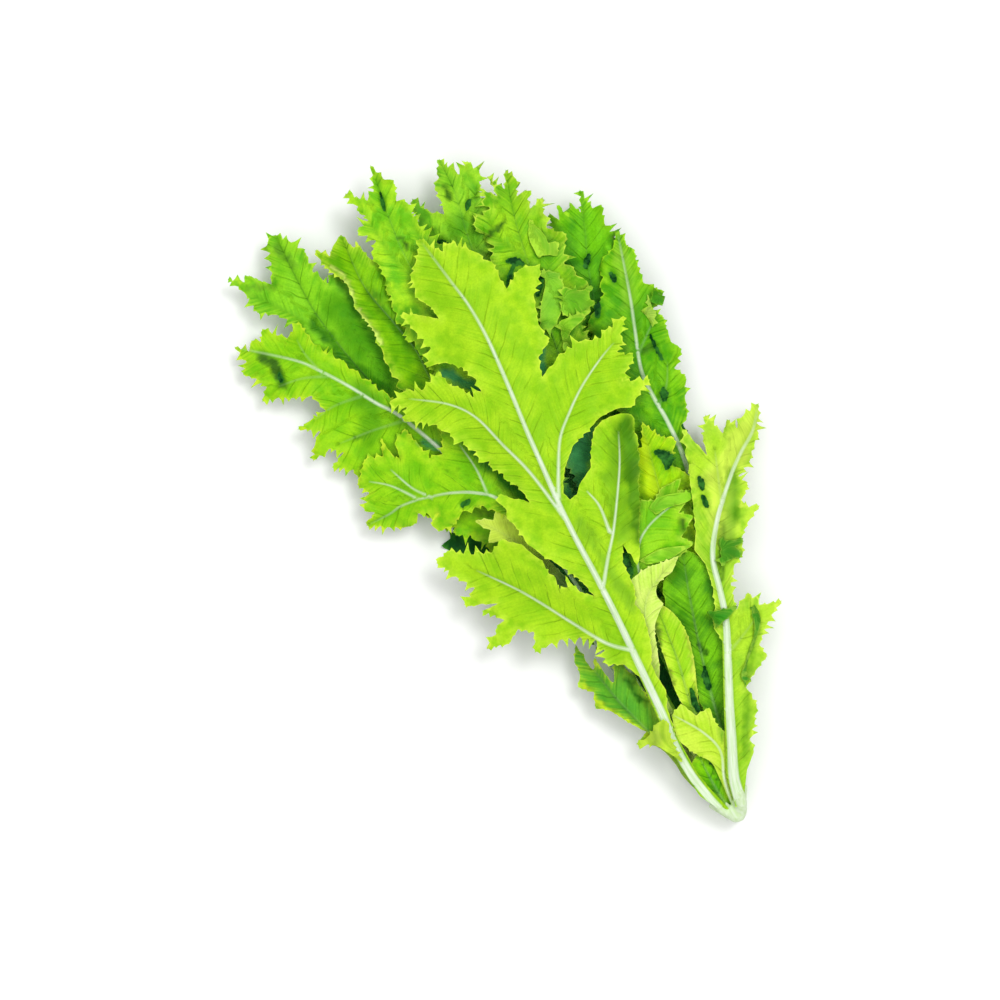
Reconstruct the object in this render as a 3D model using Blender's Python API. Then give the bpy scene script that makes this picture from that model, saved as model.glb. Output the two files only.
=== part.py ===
"""Curly endive head lying on its side: jagged leaves with raised ribs, grown from one cut stump.

Lengths are in millimetres until a mesh is made. Sketch points are (x, y) seen from above, with y
running from the stump to the leaf tips and x to the right. Heights are above the table.
"""

import math
import random
from typing import NamedTuple

import bpy
import numpy as np
from mathutils import Vector, geometry, noise

MM = 0.001
REST_SPOT = (3.0, 152.0)  # the origin lies on the table under this point of the head
REST_SPOT_SIZE = 4.8  # corner radius of the flat triangle round it, less than FILL_CLEARANCE

STUMP_BACK_Y = -3.0
STUMP_FRONT_Y = 6.0
STUMP_RINGS = ((0.0, 0.46), (0.14, 0.62), (0.5, 0.82), (1.0, 1.0))  # (share of length, share of radius)
STUMP_RADIUS = (9.0, 12.8)  # across, and in height
STUMP_ROUNDNESS = 0.75  # 1 is an ellipse, less is squarer
STUMP_SIDES = 20

LEAF_START_Y = 6.4  # every leaf stalk starts here, just clear of the stump
BLADE_THICKNESS = 1.0
RIB_HEIGHT = 0.7  # height of a rib above the blade, as a share of its half-width
RIB_DEPTH = 0.4  # the same below the blade
RIB_TAPER = 0.85  # share of its half-width that a rib loses by its end
RIB_TAPER_POWER = 0.6
RIB_FLANK = 0.7  # a broad rib has a line of points this share of its half-width to each side
BROAD_RIB = 1.0
SIDE_RIB_SHARE = 0.55  # half-width of a side rib, as a share of the stalk's
STALK_WING = 0.4  # blade either side of a bare stalk
STALK_STEP = 12.0  # spacing of outline points along a bare stalk
RIB_STEP = 9.0
FILL_STEP = 11.0
FILL_CLEARANCE = 5.0
ROW_SHARE = math.sqrt(0.75)  # rows of a staggered grid are this share of its step apart

TOOTH_PITCH = 8.0
TOOTH_HEIGHT = 3.2
TOOTH_LEAN = 0.25  # how far a tooth points outward, as a share of its pitch
TOOTH_ROOM = 0.25  # a tooth fills at most this share of the room beside it
BARE_WIDTH = 5.0  # an edge that runs this close to the midrib has no teeth

RISE_REACH = 40.0  # a leaf's rise is given this far out from its midrib
RISE_POWER = 1.25
WAVE_LENGTH = 20.0
NOISE_SHIFT = 5.3  # each leaf reads its waves from its own layer of the noise
WAVE_GAIN = 3.0  # the noise seldom passes a third of its full height
WAVE_REACH = 16.0  # the waves reach full height this far from the midrib

TABLE_LOW = (-110.0, -20.0)  # the region that leaves may cover
TABLE_CELLS = (276, 426)
CELL = 0.8
LEAF_GAP = 0.35  # clear height between leaves that touch
SETTLE_ROUNDS = 30
CLOSE_ENOUGH = 0.001
LEAST_WEIGHT = 0.02  # a corner that bears less than this of a sample isn't lifted for it
SMOOTH_STEPS = 30
SPREAD = 0.94  # share of its neighbours' lift that a point takes over

LIME, LEAF_GREEN, DEEP_GREEN, PALE = "lime_leaf", "green_leaf", "deep_green_leaf", "pale_leaf"
STUMP_COLOUR = "stump_skin"
COLOURS = {
    LIME: (0.42, 0.72, 0.06),
    LEAF_GREEN: (0.22, 0.52, 0.04),
    DEEP_GREEN: (0.08, 0.30, 0.03),
    PALE: (0.60, 0.86, 0.16),
    STUMP_COLOUR: (0.74, 0.88, 0.56),
}


class Leaf(NamedTuple):
    """One leaf. left and right run up each side from where the blade begins to just before the tip."""

    name: str
    colour: str
    midrib: tuple  # (x, y, height) from the stump to the leaf's tip
    left: tuple
    right: tuple
    ribs: tuple = ()  # side ribs, each a route that starts on the midrib
    stalk: float = 1.0  # half-width of the midrib at the stump
    rise: tuple = (0.0, 0.0)  # height gained on the left and on the right, RISE_REACH out
    wave: float = 2.5


# The leaves in the order in which they lie, from the table up
LEAVES = (
    Leaf(
        "leaf_under_left", DEEP_GREEN,
        ((-4.4, 6, 2), (-6, 40, 1), (-7, 90, -1), (-7, 150, -1), (-13, 215, -0.5), (-30, 268, 5)),
        ((-11, 42), (-14, 60), (-13, 84), (-22, 98), (-33, 103), (-36, 116), (-41, 130), (-46, 143),
         (-50, 152), (-42, 154), (-38, 162), (-44, 172), (-55, 184), (-60, 196), (-50, 203), (-58, 222),
         (-62, 238), (-50, 243), (-52, 258), (-44, 268), (-38, 262)),
        ((-1, 42), (5, 60), (12, 84), (17, 106), (12, 114), (21, 128), (27, 148), (18, 156), (27, 176),
         (24, 196), (12, 200), (14, 220), (6, 238), (-6, 236), (-8, 254), (-20, 264)),
        ribs=(((-9, 100), (-22, 116), (-38, 140)), ((-10, 125), (4, 138), (18, 144)),
              ((-13, 160), (-30, 176), (-52, 190)), ((-15, 178), (0, 192), (17, 190))),
        stalk=1.8, rise=(4, 1), wave=2.5),
    Leaf(
        "leaf_under_right", DEEP_GREEN,
        ((4.4, 6, 2), (11, 60, 2), (22, 110, 2), (33, 160, 3), (41, 200, 4), (46, 240, 8)),
        ((7, 50), (7, 76), (14, 96), (8, 112), (7, 130), (14, 146), (8, 162), (8, 184), (18, 196),
         (12, 214), (20, 234), (34, 234)),
        ((14, 40), (24, 58), (33, 72), (38, 88), (50, 104), (46, 114), (55, 130), (58, 146), (50, 156),
         (64, 170), (68, 190), (56, 196), (64, 214), (58, 232)),
        ribs=(((19, 98), (30, 112), (48, 128)), ((27, 130), (18, 150), (12, 168)),
              ((34, 165), (48, 178), (62, 186))),
        stalk=1.8, rise=(1, 3), wave=2.5),
    Leaf(
        "leaf_right_top", LEAF_GREEN,
        ((6.6, 6, 5), (20, 70, 7), (34, 140, 11), (46, 190, 16), (55, 218, 20), (62, 234, 22),
         (68, 248, 20)),
        ((16, 84), (22, 120), (24, 158), (32, 186), (38, 206), (44, 224), (47, 238), (51, 241),
         (53, 246.5), (55, 242.5), (57, 247), (59, 242), (62, 245.5), (64, 241)),
        ((26, 84), (38, 116), (52, 146), (60, 172), (66, 196), (69, 212), (72, 222), (70, 232),
         (72, 239), (69, 240)),
        ribs=(((41, 170), (34, 184), (35, 196)), ((51, 205), (60, 210), (67, 216))),
        rise=(2, -6), wave=3.0),
    Leaf(
        "leaf_right_back", LEAF_GREEN,
        ((6.9, 6, 7), (24, 60, 10), (42, 100, 14), (51, 132, 18), (53, 150, 21), (53, 162, 22),
         (54, 174, 23), (60, 190, 23), (65, 203, 21), (73, 227, 15)),
        ((34, 92), (38, 120), (36, 140), (40, 160), (36, 174), (42, 190), (46, 202), (56, 208),
         (62, 220), (68, 222)),
        ((47, 98), (55, 118), (54, 136), (57, 147), (61, 149), (64, 156), (68, 163), (66, 168),
         (72, 173.5), (70, 178), (72, 188), (70, 193), (77, 197), (72, 204), (74, 214)),
        ribs=(((53, 158), (60, 164), (65, 172)), ((56, 180), (64, 186), (70, 190)),
              ((52, 140), (46, 150), (43, 158))),
        stalk=1.4, rise=(2, -16), wave=2.0),
    Leaf(
        "leaf_far_left", LEAF_GREEN,
        ((-6.6, 6, 5), (-13, 80, 6), (-20, 140, 9), (-33, 190, 12), (-43, 225, 14), (-48, 255, 17),
         (-48, 275, 19), (-47, 293, 18)),
        ((-17, 90), (-24, 130), (-40, 168), (-50, 196), (-54, 225), (-55, 244), (-57, 257), (-62, 265),
         (-68, 270), (-69, 279), (-72, 287), (-67, 283), (-64, 284), (-58, 277), (-54, 284), (-51, 292)),
        ((-6, 90), (-10, 130), (-16, 168), (-20, 196), (-24, 220), (-28, 240), (-30, 258), (-34, 268),
         (-38, 266), (-41, 273), (-40, 281), (-43, 288)),
        ribs=(((-46, 245), (-54, 258), (-66, 276)), ((-39, 212), (-32, 228), (-31, 246))),
        rise=(-4, 20), wave=1.5),
    Leaf(
        "leaf_top_right", LEAF_GREEN,
        ((2.2, 6, 5), (6, 90, 14), (9, 170, 22), (14, 220, 30), (20, 255, 31), (24, 272, 27),
         (25, 286, 22)),
        ((1, 100), (-2, 140), (-4, 180), (-2, 220), (2, 246), (4, 262), (8, 278.5), (12, 270),
         (16, 267), (18, 276)),
        ((14, 100), (20, 140), (27, 180), (32, 220), (34, 244), (34, 258), (32, 266), (36, 274),
         (34, 280), (29, 278)),
        ribs=(((17, 240), (24, 256), (32, 270)), ((16, 232), (10, 248), (8, 266))),
        rise=(-2, -5), wave=4.0),
    Leaf(
        "leaf_fold", LEAF_GREEN,
        ((-2.2, 6, 5), (-6, 80, 12), (-11, 150, 19), (-18, 190, 26), (-21, 212, 28), (-20.5, 225, 30),
         (-23, 240, 31), (-26, 258, 30), (-24, 280, 26)),
        ((-12, 100), (-16, 140), (-25, 180), (-31, 205), (-33, 225), (-31, 240), (-33, 250), (-31, 262),
         (-36, 272), (-36, 280), (-32, 275), (-29, 278)),
        ((-3, 100), (-5, 140), (-9, 180), (-11, 205), (-13, 228), (-12, 248), (-15, 262), (-19, 266),
         (-20, 275), (-22, 272)),
        rise=(-30, -10), wave=1.5),
    Leaf(
        "leaf_left", LIME,
        ((-6.8, 6, 7.5), (-13, 60, 10), (-18, 120, 14), (-27, 170, 18), (-38, 203, 19), (-45, 215, 20),
         (-51, 226, 21), (-58, 237, 20), (-65, 246, 18), (-83, 262, 12)),
        ((-22, 110), (-34, 144), (-50, 168), (-60, 184), (-66, 196), (-72, 201), (-66, 204), (-70, 208),
         (-77.5, 207.5), (-74, 213), (-70, 216), (-77, 221), (-70, 222), (-64, 222), (-66, 230),
         (-73, 233), (-78, 236), (-84, 238), (-80, 242), (-82, 247), (-85, 251), (-82, 255)),
        ((-12, 110), (-15, 144), (-20, 176), (-28, 196), (-38, 211), (-45, 226), (-50, 238), (-55, 248),
         (-56, 258), (-63, 255), (-66, 258), (-70, 263), (-73, 259), (-76, 261), (-79, 258)),
        ribs=(((-48, 220), (-60, 222), (-70, 221)), ((-38, 203), (-52, 206), (-66, 208)),
              ((-57, 234), (-66, 238), (-76, 240)), ((-58, 236), (-60, 246), (-60, 253))),
        stalk=1.3, rise=(-10, 2), wave=2.5),
    Leaf(
        "leaf_top", LEAF_GREEN,
        ((-2, 6, 8), (-2, 90, 18), (-3, 170, 28), (-4, 225, 38), (-6, 255, 36), (-4, 276, 31),
         (0, 298, 22)),
        ((-7, 100), (-10, 150), (-16, 190), (-19, 222), (-20, 242), (-17, 256), (-17, 267), (-13, 271),
         (-17, 278), (-11, 280), (-14, 293), (-8, 287), (-4, 289)),
        ((3, 100), (5, 150), (10, 190), (12, 222), (12, 244), (8, 258), (5, 268), (5, 278), (2, 281),
         (4.5, 287), (2, 291)),
        ribs=(((-5, 240), (-10, 262), (-12, 284)), ((-5, 245), (2, 256), (3, 270))),
        rise=(-8, -8), wave=3.5),
    Leaf(
        "leaf_curly", LIME,
        ((2.2, 6, 8), (14, 90, 19), (24, 170, 28), (32, 215, 35), (37, 240, 35), (41, 256, 31),
         (46, 270, 26)),
        ((10, 110), (10, 150), (14, 190), (16, 214), (22, 224), (19, 238), (27, 246), (25, 258),
         (33, 260), (34, 268), (38, 263), (38.5, 271), (42, 264)),
        ((22, 110), (28, 150), (38, 190), (44, 208), (52, 214), (48, 226), (54, 236), (49, 242),
         (53, 253), (47, 252), (49, 259), (45, 259), (47.5, 265)),
        ribs=(((33, 218), (42, 228), (48, 238)), ((28, 195), (22, 212), (22, 222)),
              ((36, 236), (30, 248), (31, 258))),
        rise=(-4, -9), wave=5.0),
    Leaf(
        "leaf_star", PALE,
        ((-2.2, 6, 10.5), (-8, 50, 15), (-12, 100, 21), (-20, 130, 24), (-28, 147, 22), (-35, 155.5, 20)),
        ((-15, 106), (-20, 120), (-22, 128), (-25, 136), (-26, 141), (-33, 144), (-30, 148)),
        ((-12, 112), (-15, 124), (-18, 134), (-17, 143), (-20, 147), (-24, 154), (-27, 151)),
        rise=(-4, -2), wave=1.5),
    Leaf(
        "leaf_left_low", LIME,
        ((-6.4, 6, 10), (-9, 50, 16), (-10, 100, 23), (-14, 140, 29), (-21, 157, 28), (-28, 164, 26),
         (-36, 168.5, 24), (-43, 171, 22), (-50, 173, 20), (-57, 174, 17), (-62, 173.5, 15),
         (-72, 174, 10)),
        ((-15, 138), (-22, 150), (-28, 158), (-36, 160), (-42, 157), (-48, 158), (-49, 162), (-45, 164),
         (-52, 168), (-56, 165), (-60, 166), (-65, 169)),
        ((-8, 138), (-10, 158), (-15, 176), (-19, 192), (-27, 197), (-29, 189), (-32, 184), (-37, 185),
         (-38, 191), (-40, 200), (-46, 197), (-47.5, 191), (-49, 192), (-50, 202), (-53, 195), (-60, 197),
         (-67, 190), (-65, 185), (-70, 179.5), (-67, 177)),
        ribs=(((-44, 171), (-49, 178), (-53, 189)), ((-49, 173), (-56, 183), (-63, 189)),
              ((-24, 161), (-23, 172), (-24, 184))),
        stalk=1.3, rise=(-14, -6), wave=2.0),
    Leaf(
        "leaf_basal_left", LEAF_GREEN,
        ((-7, 6, 12.5), (-10, 20, 13), (-13, 40, 13), (-17, 55, 13), (-20, 68, 12), (-23, 91, 9)),
        ((-11.5, 30), (-14, 40), (-21, 44.5), (-15.5, 47), (-20, 54), (-24, 62), (-28.5, 65), (-26, 71),
         (-30.5, 76), (-27, 80), (-26.5, 86)),
        ((-9.5, 34), (-9, 46), (-8, 56), (-9, 66), (-12, 80), (-15, 74), (-18, 69), (-19, 83), (-22.3, 77)),
        stalk=1.3, rise=(-14, -6), wave=1.5),
    Leaf(
        "leaf_heart_yellow", LIME,
        ((6.8, 6, 9), (13, 40, 13), (21, 80, 18), (31, 108, 24), (37, 130, 27), (44, 155.5, 27)),
        ((16, 84), (22, 104), (21, 118), (26, 132), (31, 138), (35, 148), (39, 147)),
        ((28, 84), (38, 102), (44, 116), (50, 128), (46, 135), (52, 144), (47, 147)),
        ribs=(((34, 118), (41, 124), (47, 129)),),
        rise=(-2, -8), wave=2.0),
    Leaf(
        "leaf_heart_dark", DEEP_GREEN,
        ((6.8, 6, 11.5), (10.5, 30, 17), (18, 60, 21), (26, 85, 26), (33, 104, 26)),
        ((5, 26), (9, 42), (11, 56), (14, 70), (15, 84), (20, 96), (26, 99), (29, 103)),
        ((16, 34), (26, 50), (34, 66), (40, 78), (39, 92), (37, 99)),
        rise=(4, -6), wave=2.5),
    Leaf(
        "leaf_heart_lobe", LEAF_GREEN,
        ((2.3, 6, 9.5), (5, 40, 17), (9, 80, 26), (13, 103, 35), (18, 113, 36), (25, 118, 36),
         (35, 120.5, 34), (48, 122, 30)),
        ((5, 88), (6, 104), (11, 116), (18, 124), (27, 129), (33, 126), (38, 129), (46, 128.5), (43, 125)),
        ((14, 92), (20, 102), (28, 101), (38, 103.5), (35, 108), (43, 113), (39, 117)),
        rise=(-6, -6), wave=2.5),
    Leaf(
        "leaf_heart_bright", LEAF_GREEN,
        ((2.3, 6, 12), (3.5, 26, 17), (5.5, 48, 22), (9.5, 66, 26), (13, 90, 29)),
        ((2.5, 46), (2.5, 56), (4.5, 65), (6.3, 74), (8, 82), (10.5, 88)),
        ((8, 46), (11, 53), (15, 62), (18, 72), (18, 81), (16, 87)),
        rise=(-4, -12), wave=2.0),
    Leaf(
        "leaf_heart_curl", PALE,
        ((-2.2, 6, 12), (-3, 30, 18), (-3, 56, 25), (0, 72, 34), (8, 90, 37), (16, 97, 37), (30, 102, 34)),
        ((-2.5, 64), (0, 72), (3, 79), (5, 86), (5.5, 94), (3, 99.5), (8, 99), (9, 103), (16, 104.5),
         (23, 103)),
        ((1.5, 66), (4.5, 74), (7.5, 82), (12, 86), (15.5, 88.5), (14.5, 93), (17.5, 97), (25, 98)),
        rise=(-3, -6), wave=2.0),
    Leaf(
        "leaf_heart_tuft", LEAF_GREEN,
        ((-2.2, 6, 14.5), (-2.5, 14, 17), (-2, 29, 20)),
        ((-5, 12), (-8, 18), (-8, 25), (-5, 28)),
        ((0.5, 12), (4, 17), (4, 24), (1, 27)),
        stalk=1.0, rise=(-6, -6), wave=1.0),
    Leaf(
        "leaf_heart_low", PALE,
        ((0.1, 6, 14.5), (2.6, 16, 18), (6.5, 26, 22), (4, 36, 25), (-3, 48, 28)),
        ((1, 18), (1.5, 24), (-3, 30), (-6, 38), (-5, 44)),
        ((9, 20), (13, 29), (10, 36), (11, 43), (5, 43), (2, 50)),
        stalk=0.7, rise=(-4, -14), wave=1.0),
    Leaf(
        "leaf_right", LIME,
        ((3.8, 6, 16.5), (6.4, 15, 18.5), (12.8, 28, 20.5), (19.7, 42, 23), (27, 56, 25.5), (34, 70, 28),
         (38, 82, 29.5), (42, 95, 30), (50, 106, 29), (58, 114, 27.5), (66, 121, 25), (73, 126, 22),
         (81, 131, 18.5), (88, 139, 14)),
        ((29, 71), (33, 77), (36, 84), (38, 94), (37, 101), (41, 107), (45, 116), (49, 126), (52, 132),
         (57, 144.5), (60, 131.5), (62, 138), (67.5, 145.5), (70, 136), (74, 139), (76, 135), (80, 138)),
        ((12, 14), (18, 19), (19, 24), (24, 29), (28, 35), (28, 43), (35, 47), (41, 50), (41, 55),
         (48, 61), (57, 66), (49, 69), (47, 75), (40, 72), (43, 82), (48, 88), (53, 90), (56, 96),
         (61, 100), (67.5, 103.5), (61, 107), (68, 113), (67, 118), (74, 121), (80, 127)),
        ribs=(((28, 58), (38, 62), (47, 66)), ((56, 112), (59, 120), (64, 132))),
        stalk=3.0, rise=(-2, -14), wave=2.0),
    Leaf(
        "leaf_front", LIME,
        ((-5.2, 6, 17), (-6.6, 12, 19), (-8.5, 25, 23), (-8, 40, 31), (-6.5, 50, 33.5), (-5, 70, 38),
         (-3.5, 90, 42), (-2.5, 110, 46), (-2, 130, 49), (-1, 145, 51), (0.5, 160, 52.5), (2, 175, 53.5),
         (4.5, 195, 54), (6.5, 215, 53.5), (6.5, 230, 52), (5, 242, 50), (2.5, 262, 44)),
        ((-10, 75), (-16, 79), (-14, 84), (-15, 89), (-20, 93), (-27, 96), (-38, 97), (-35, 104),
         (-40, 108), (-46, 105), (-54, 107.5), (-43, 114), (-48, 121), (-42, 121), (-53, 127), (-47, 131),
         (-51, 138), (-55, 147), (-49, 149), (-41, 143), (-34, 140), (-28, 142), (-22, 137), (-19, 129),
         (-17.5, 114), (-14.5, 113), (-13, 117), (-11, 109), (-7, 105), (-9, 114), (-13, 122), (-17, 129),
         (-20, 136), (-21, 146), (-20, 158), (-11, 150), (-12, 158), (-17, 172), (-22, 184), (-28, 195),
         (-33, 199), (-38, 203), (-35, 207), (-40, 212), (-33, 213), (-26, 210), (-17, 213), (-16, 207),
         (-12.5, 203), (-10, 197.5), (-6, 198), (-5.5, 203), (-8, 210), (-13, 215), (-20, 217),
         (-15, 223), (-17, 231), (-19, 240), (-14, 238), (-10, 234.5), (-6.5, 231.5), (-7, 237),
         (-9.5, 242), (-8, 251), (-3, 256)),
        ((-3.5, 52), (-0.5, 58), (-1, 65), (-0.5, 70), (2.5, 75), (4.5, 81), (6.3, 88), (5.5, 94), (8.5, 99),
         (9, 104), (9.5, 111), (13, 117), (14, 112), (14, 107), (17, 110), (20, 116), (26, 126), (31, 136),
         (37, 147), (41.5, 160.5), (38, 163), (33.5, 164), (29.5, 164), (25.5, 162.3), (22, 158),
         (17, 150), (10, 146.5), (7, 143.5), (3.5, 143), (2.5, 146.5), (4.5, 150.5), (8, 155), (15, 161),
         (25, 164), (30, 165.6), (34, 165.6), (39, 165), (43, 163), (46, 165), (54, 169), (45, 174),
         (53, 180), (49, 185), (58, 196), (46, 193),
         (38, 196), (30, 195), (18, 191), (20.5, 198.5), (27, 202), (27, 210), (31, 221), (38, 228),
         (35.5, 231.5), (31, 232.5), (27, 230.5), (23, 228.5), (22.5, 233), (23, 238), (18, 249),
         (12, 255), (8, 254)),
        ribs=(((-4, 78), (-12, 86), (-20, 100), (-27, 113), (-33, 123), (-43, 137)),
              ((-3, 105), (5, 115), (12, 123), (20, 134), (28, 146), (34, 157.5)),
              ((-2, 138), (-5, 160), (-9, 175), (-13, 190), (-20, 200), (-33, 210)),
              ((0, 146), (5, 155), (12, 166), (20, 173), (30, 180), (42, 186), (50, 189)),
              ((11, 124), (12.5, 135), (11, 143))),
        stalk=2.4, rise=(-17, -13), wave=1.8),
)


def smooth_route(points, step):
    """Evenly spaced points along a smooth curve through the given ones."""
    ends = [2 * np.array(points[0]) - points[1], 2 * np.array(points[-1]) - points[-2]]
    knots = np.array([ends[0], *points, ends[1]], dtype=float)
    dense = [knots[1]]
    for a, b, c, d in zip(knots, knots[1:], knots[2:], knots[3:]):
        for t in np.arange(1, 11) / 10:
            dense.append((2 * b + (c - a) * t + (2 * a - 5 * b + 4 * c - d) * t**2
                          + (3 * b - a - 3 * c + d) * t**3) / 2)
    dense = np.array(dense)
    run = np.concatenate([[0.0], np.cumsum(np.hypot(*np.diff(dense[:, :2], axis=0).T))])
    even = np.linspace(0.0, run[-1], max(3, round(run[-1] / step) + 1))
    return np.stack([np.interp(even, run, column) for column in dense.T], axis=1)


def headings(route):
    """Unit directions along a route, in plan."""
    steps = np.gradient(route[:, :2], axis=0)
    return steps / np.hypot(*steps.T)[:, None]


def nearest_on(route, points):
    """For each point: its distance from the route, the nearest station, and 1 if it lies on the left."""
    offsets = points[:, None, :2] - route[None, :, :2]
    distances = np.hypot(offsets[..., 0], offsets[..., 1])
    station = distances.argmin(axis=1)
    rows = np.arange(len(points))
    heading = headings(route)[station]
    offset = offsets[rows, station]
    side = np.sign(heading[:, 0] * offset[:, 1] - heading[:, 1] * offset[:, 0])
    return distances[rows, station], station, side


def rib_half_widths(route, at_start):
    """Half-width at each station of a rib that tapers towards its end."""
    share = np.linspace(0.0, 1.0, len(route))
    return at_start * (1.0 - RIB_TAPER * share**RIB_TAPER_POWER)


def rib_routes(leaf, step):
    """The midrib, cut off at the stump, and the side ribs, each with its half-widths."""
    midrib = smooth_route(leaf.midrib, step)
    midrib[0, 1] = LEAF_START_Y
    routes = [(midrib, rib_half_widths(midrib, leaf.stalk))]
    for points in leaf.ribs:
        route = smooth_route(points, step)
        routes.append((route, rib_half_widths(route, leaf.stalk * SIDE_RIB_SHARE)))
    return routes


def stalk_side(midrib, half_widths, blade_start, side):
    """Outline of the bare stalk on one side, from the stump to where the blade begins."""
    stop = nearest_on(midrib, np.array([blade_start], dtype=float))[1][0]
    reach = half_widths + STALK_WING
    normals = headings(midrib)[:, ::-1] * (-side, side)
    line = midrib[:, :2] + normals * reach[:, None]
    line[0] = (midrib[0, 0] + normals[0, 0] * reach[0], LEAF_START_Y)
    stations = np.linspace(0, stop, max(2, round(stop * RIB_STEP / STALK_STEP) + 1))[:-1]
    return [tuple(line[round(k)]) for k in stations]


def room_beside(point, corners, own):
    """Distance from a point to the nearest side of the blade other than its own."""
    starts = np.array(corners[:-1])
    runs = np.array(corners[1:]) - starts
    share = np.einsum("ij,ij->i", point - starts, runs) / np.einsum("ij,ij->i", runs, runs)
    gaps = np.hypot(*(starts + runs * np.clip(share, 0.0, 1.0)[:, None] - point).T)
    gaps[own] = np.inf
    return gaps.min()


def toothed(corners, midrib, rng):
    """The blade's outline with teeth cut along each side that is long enough and clear of the midrib."""
    away = nearest_on(midrib, np.array(corners, dtype=float))[0]
    outline = []
    for k, (start, end) in enumerate(zip(corners[:-1], corners[1:])):
        start, run = np.array(start, dtype=float), np.subtract(end, start)
        outline.append(tuple(start))
        length = math.hypot(*run)
        count = round(length / TOOTH_PITCH)
        if count < 2 or max(away[k], away[k + 1]) < BARE_WIDTH:
            continue
        normal = np.array((-run[1], run[0])) / length
        lean = TOOTH_LEAN if away[k + 1] > away[k] else -TOOTH_LEAN
        for tooth in range(count):
            foot = start + run * (tooth + 0.5) / count
            height = min(TOOTH_HEIGHT * rng.uniform(0.7, 1.3), TOOTH_ROOM * room_beside(foot, corners, k))
            outline.append(tuple(foot + run * lean / count + normal * height))
            if tooth < count - 1:
                outline.append(tuple(start + run * (tooth + 1) / count))
    outline.append(tuple(corners[-1]))
    return outline


def leaf_outline(leaf, midrib, half_widths, rng):
    """Closed outline in plan: up the left side, over the tip and down the right side."""
    corners = [*leaf.left, tuple(midrib[-1, :2]), *reversed(leaf.right)]
    up = stalk_side(midrib, half_widths, leaf.left[0], 1)
    down = stalk_side(midrib, half_widths, leaf.right[0], -1)
    return np.array([*up, *toothed(corners, midrib, rng), *reversed(down)])


def inside(points, outline):
    """Which points lie inside a closed outline."""
    x, y = points[:, 0, None], points[:, 1, None]
    ax, ay = outline[:, 0], outline[:, 1]
    bx, by = np.roll(ax, -1), np.roll(ay, -1)
    crosses = (ay > y) != (by > y)
    slope = np.divide(bx - ax, by - ay, out=np.zeros_like(ax), where=by != ay)
    return (crosses & (x < ax + slope * (y - ay))).sum(axis=1) % 2 == 1


def rib_points(routes, outline):
    """Points along the ribs, with a line to each side of a broad one, and the lines joining them."""
    points, joins = [], []
    for route, half_widths in routes:
        normals = headings(route)[:, ::-1] * (-1, 1)
        for side in (0, -1, 1):
            line = route[:, :2] + normals * (half_widths * RIB_FLANK * side)[:, None]
            keep = inside(line, outline) & ((half_widths >= BROAD_RIB) | (side == 0))
            for k in np.flatnonzero(keep):
                if side == 0 and k > 0 and keep[k - 1]:
                    joins.append((len(points) - 1, len(points)))
                points.append(tuple(line[k]))
    return points, joins


def fill_points(outline, taken):
    """A staggered grid of points inside the outline, clear of it and of the points already there."""
    low, high = outline.min(axis=0), outline.max(axis=0)
    rows = []
    for row, y in enumerate(np.arange(low[1], high[1], FILL_STEP * ROW_SHARE)):
        rows += [(x, y) for x in np.arange(low[0] + FILL_STEP * 0.5 * (row % 2), high[0], FILL_STEP)]
    rows = np.array(rows)
    rows = rows[inside(rows, outline)]
    near = np.hypot(*(rows[:, None] - np.array(taken)[None]).transpose(2, 0, 1)).min(axis=1)
    return rows[near > FILL_CLEARANCE]


def triangulate(outline, routes, spot):
    """Split the leaf's plan into triangles: its corners and, for each triangle, three of them."""
    ribs, joins = rib_points(routes, outline)
    corners = [*map(tuple, outline)]
    edges = [(k, (k + 1) % len(corners)) for k in range(len(corners))]
    edges += [(a + len(corners), b + len(corners)) for a, b in joins]
    corners += ribs
    if spot:
        edges += [(len(corners) + k, len(corners) + (k + 1) % 3) for k in range(3)]
        corners += spot
    fill = fill_points(outline, corners)
    corners += [*map(tuple, fill)]
    found = geometry.delaunay_2d_cdt([Vector(c) for c in corners], edges, [], 1, 1e-5)
    return np.array([tuple(v) for v in found[0]]), np.array(found[2])


def relief(points, routes):
    """Height of the ribs at each point."""
    height = np.zeros(len(points))
    for route, half_widths in routes:
        distance, station, _ = nearest_on(route, points)
        half = half_widths[station]
        height = np.maximum(height, half * np.clip(1.0 - (distance / half) ** 2, 0.0, 1.0))
    return height


def natural_height(leaf, seed, points, midrib):
    """Middle height of the blade before it settles on the leaves below."""
    distance, station, side = nearest_on(midrib, points)
    rise = np.where(side > 0, leaf.rise[0], leaf.rise[1])
    spots = [Vector((x / WAVE_LENGTH, y / WAVE_LENGTH, seed * NOISE_SHIFT)) for x, y in points]
    strength = leaf.wave * WAVE_GAIN * np.clip(distance / WAVE_REACH, 0.0, 1.0)
    waves = strength * np.array([noise.noise(spot) for spot in spots])
    return midrib[station, 2] + rise * (distance / RISE_REACH) ** RISE_POWER + waves


def triangle_samples(points, triangles):
    """Evenly spread samples of the triangles: corner numbers, weights and table cells."""
    corners, weights = [], []
    for triangle in triangles:
        size = max(math.dist(points[triangle[k]], points[triangle[k - 1]]) for k in range(3))
        count = max(2, math.ceil(2.0 * size / CELL))
        for i in range(count + 1):
            for j in range(count + 1 - i):
                corners.append(triangle)
                weights.append((i / count, j / count, (count - i - j) / count))
    corners, weights = np.array(corners), np.array(weights)
    places = np.einsum("ijk,ij->ik", points[corners], weights)
    cells = np.round((places - TABLE_LOW) / CELL).astype(int)
    return corners, weights, tuple(cells.T)


def widened(heights):
    """Each cell's highest neighbour."""
    rows = np.maximum(heights, np.maximum(np.roll(heights, 1, 0), np.roll(heights, -1, 0)))
    return np.maximum(rows, np.maximum(np.roll(rows, 1, 1), np.roll(rows, -1, 1)))


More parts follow.
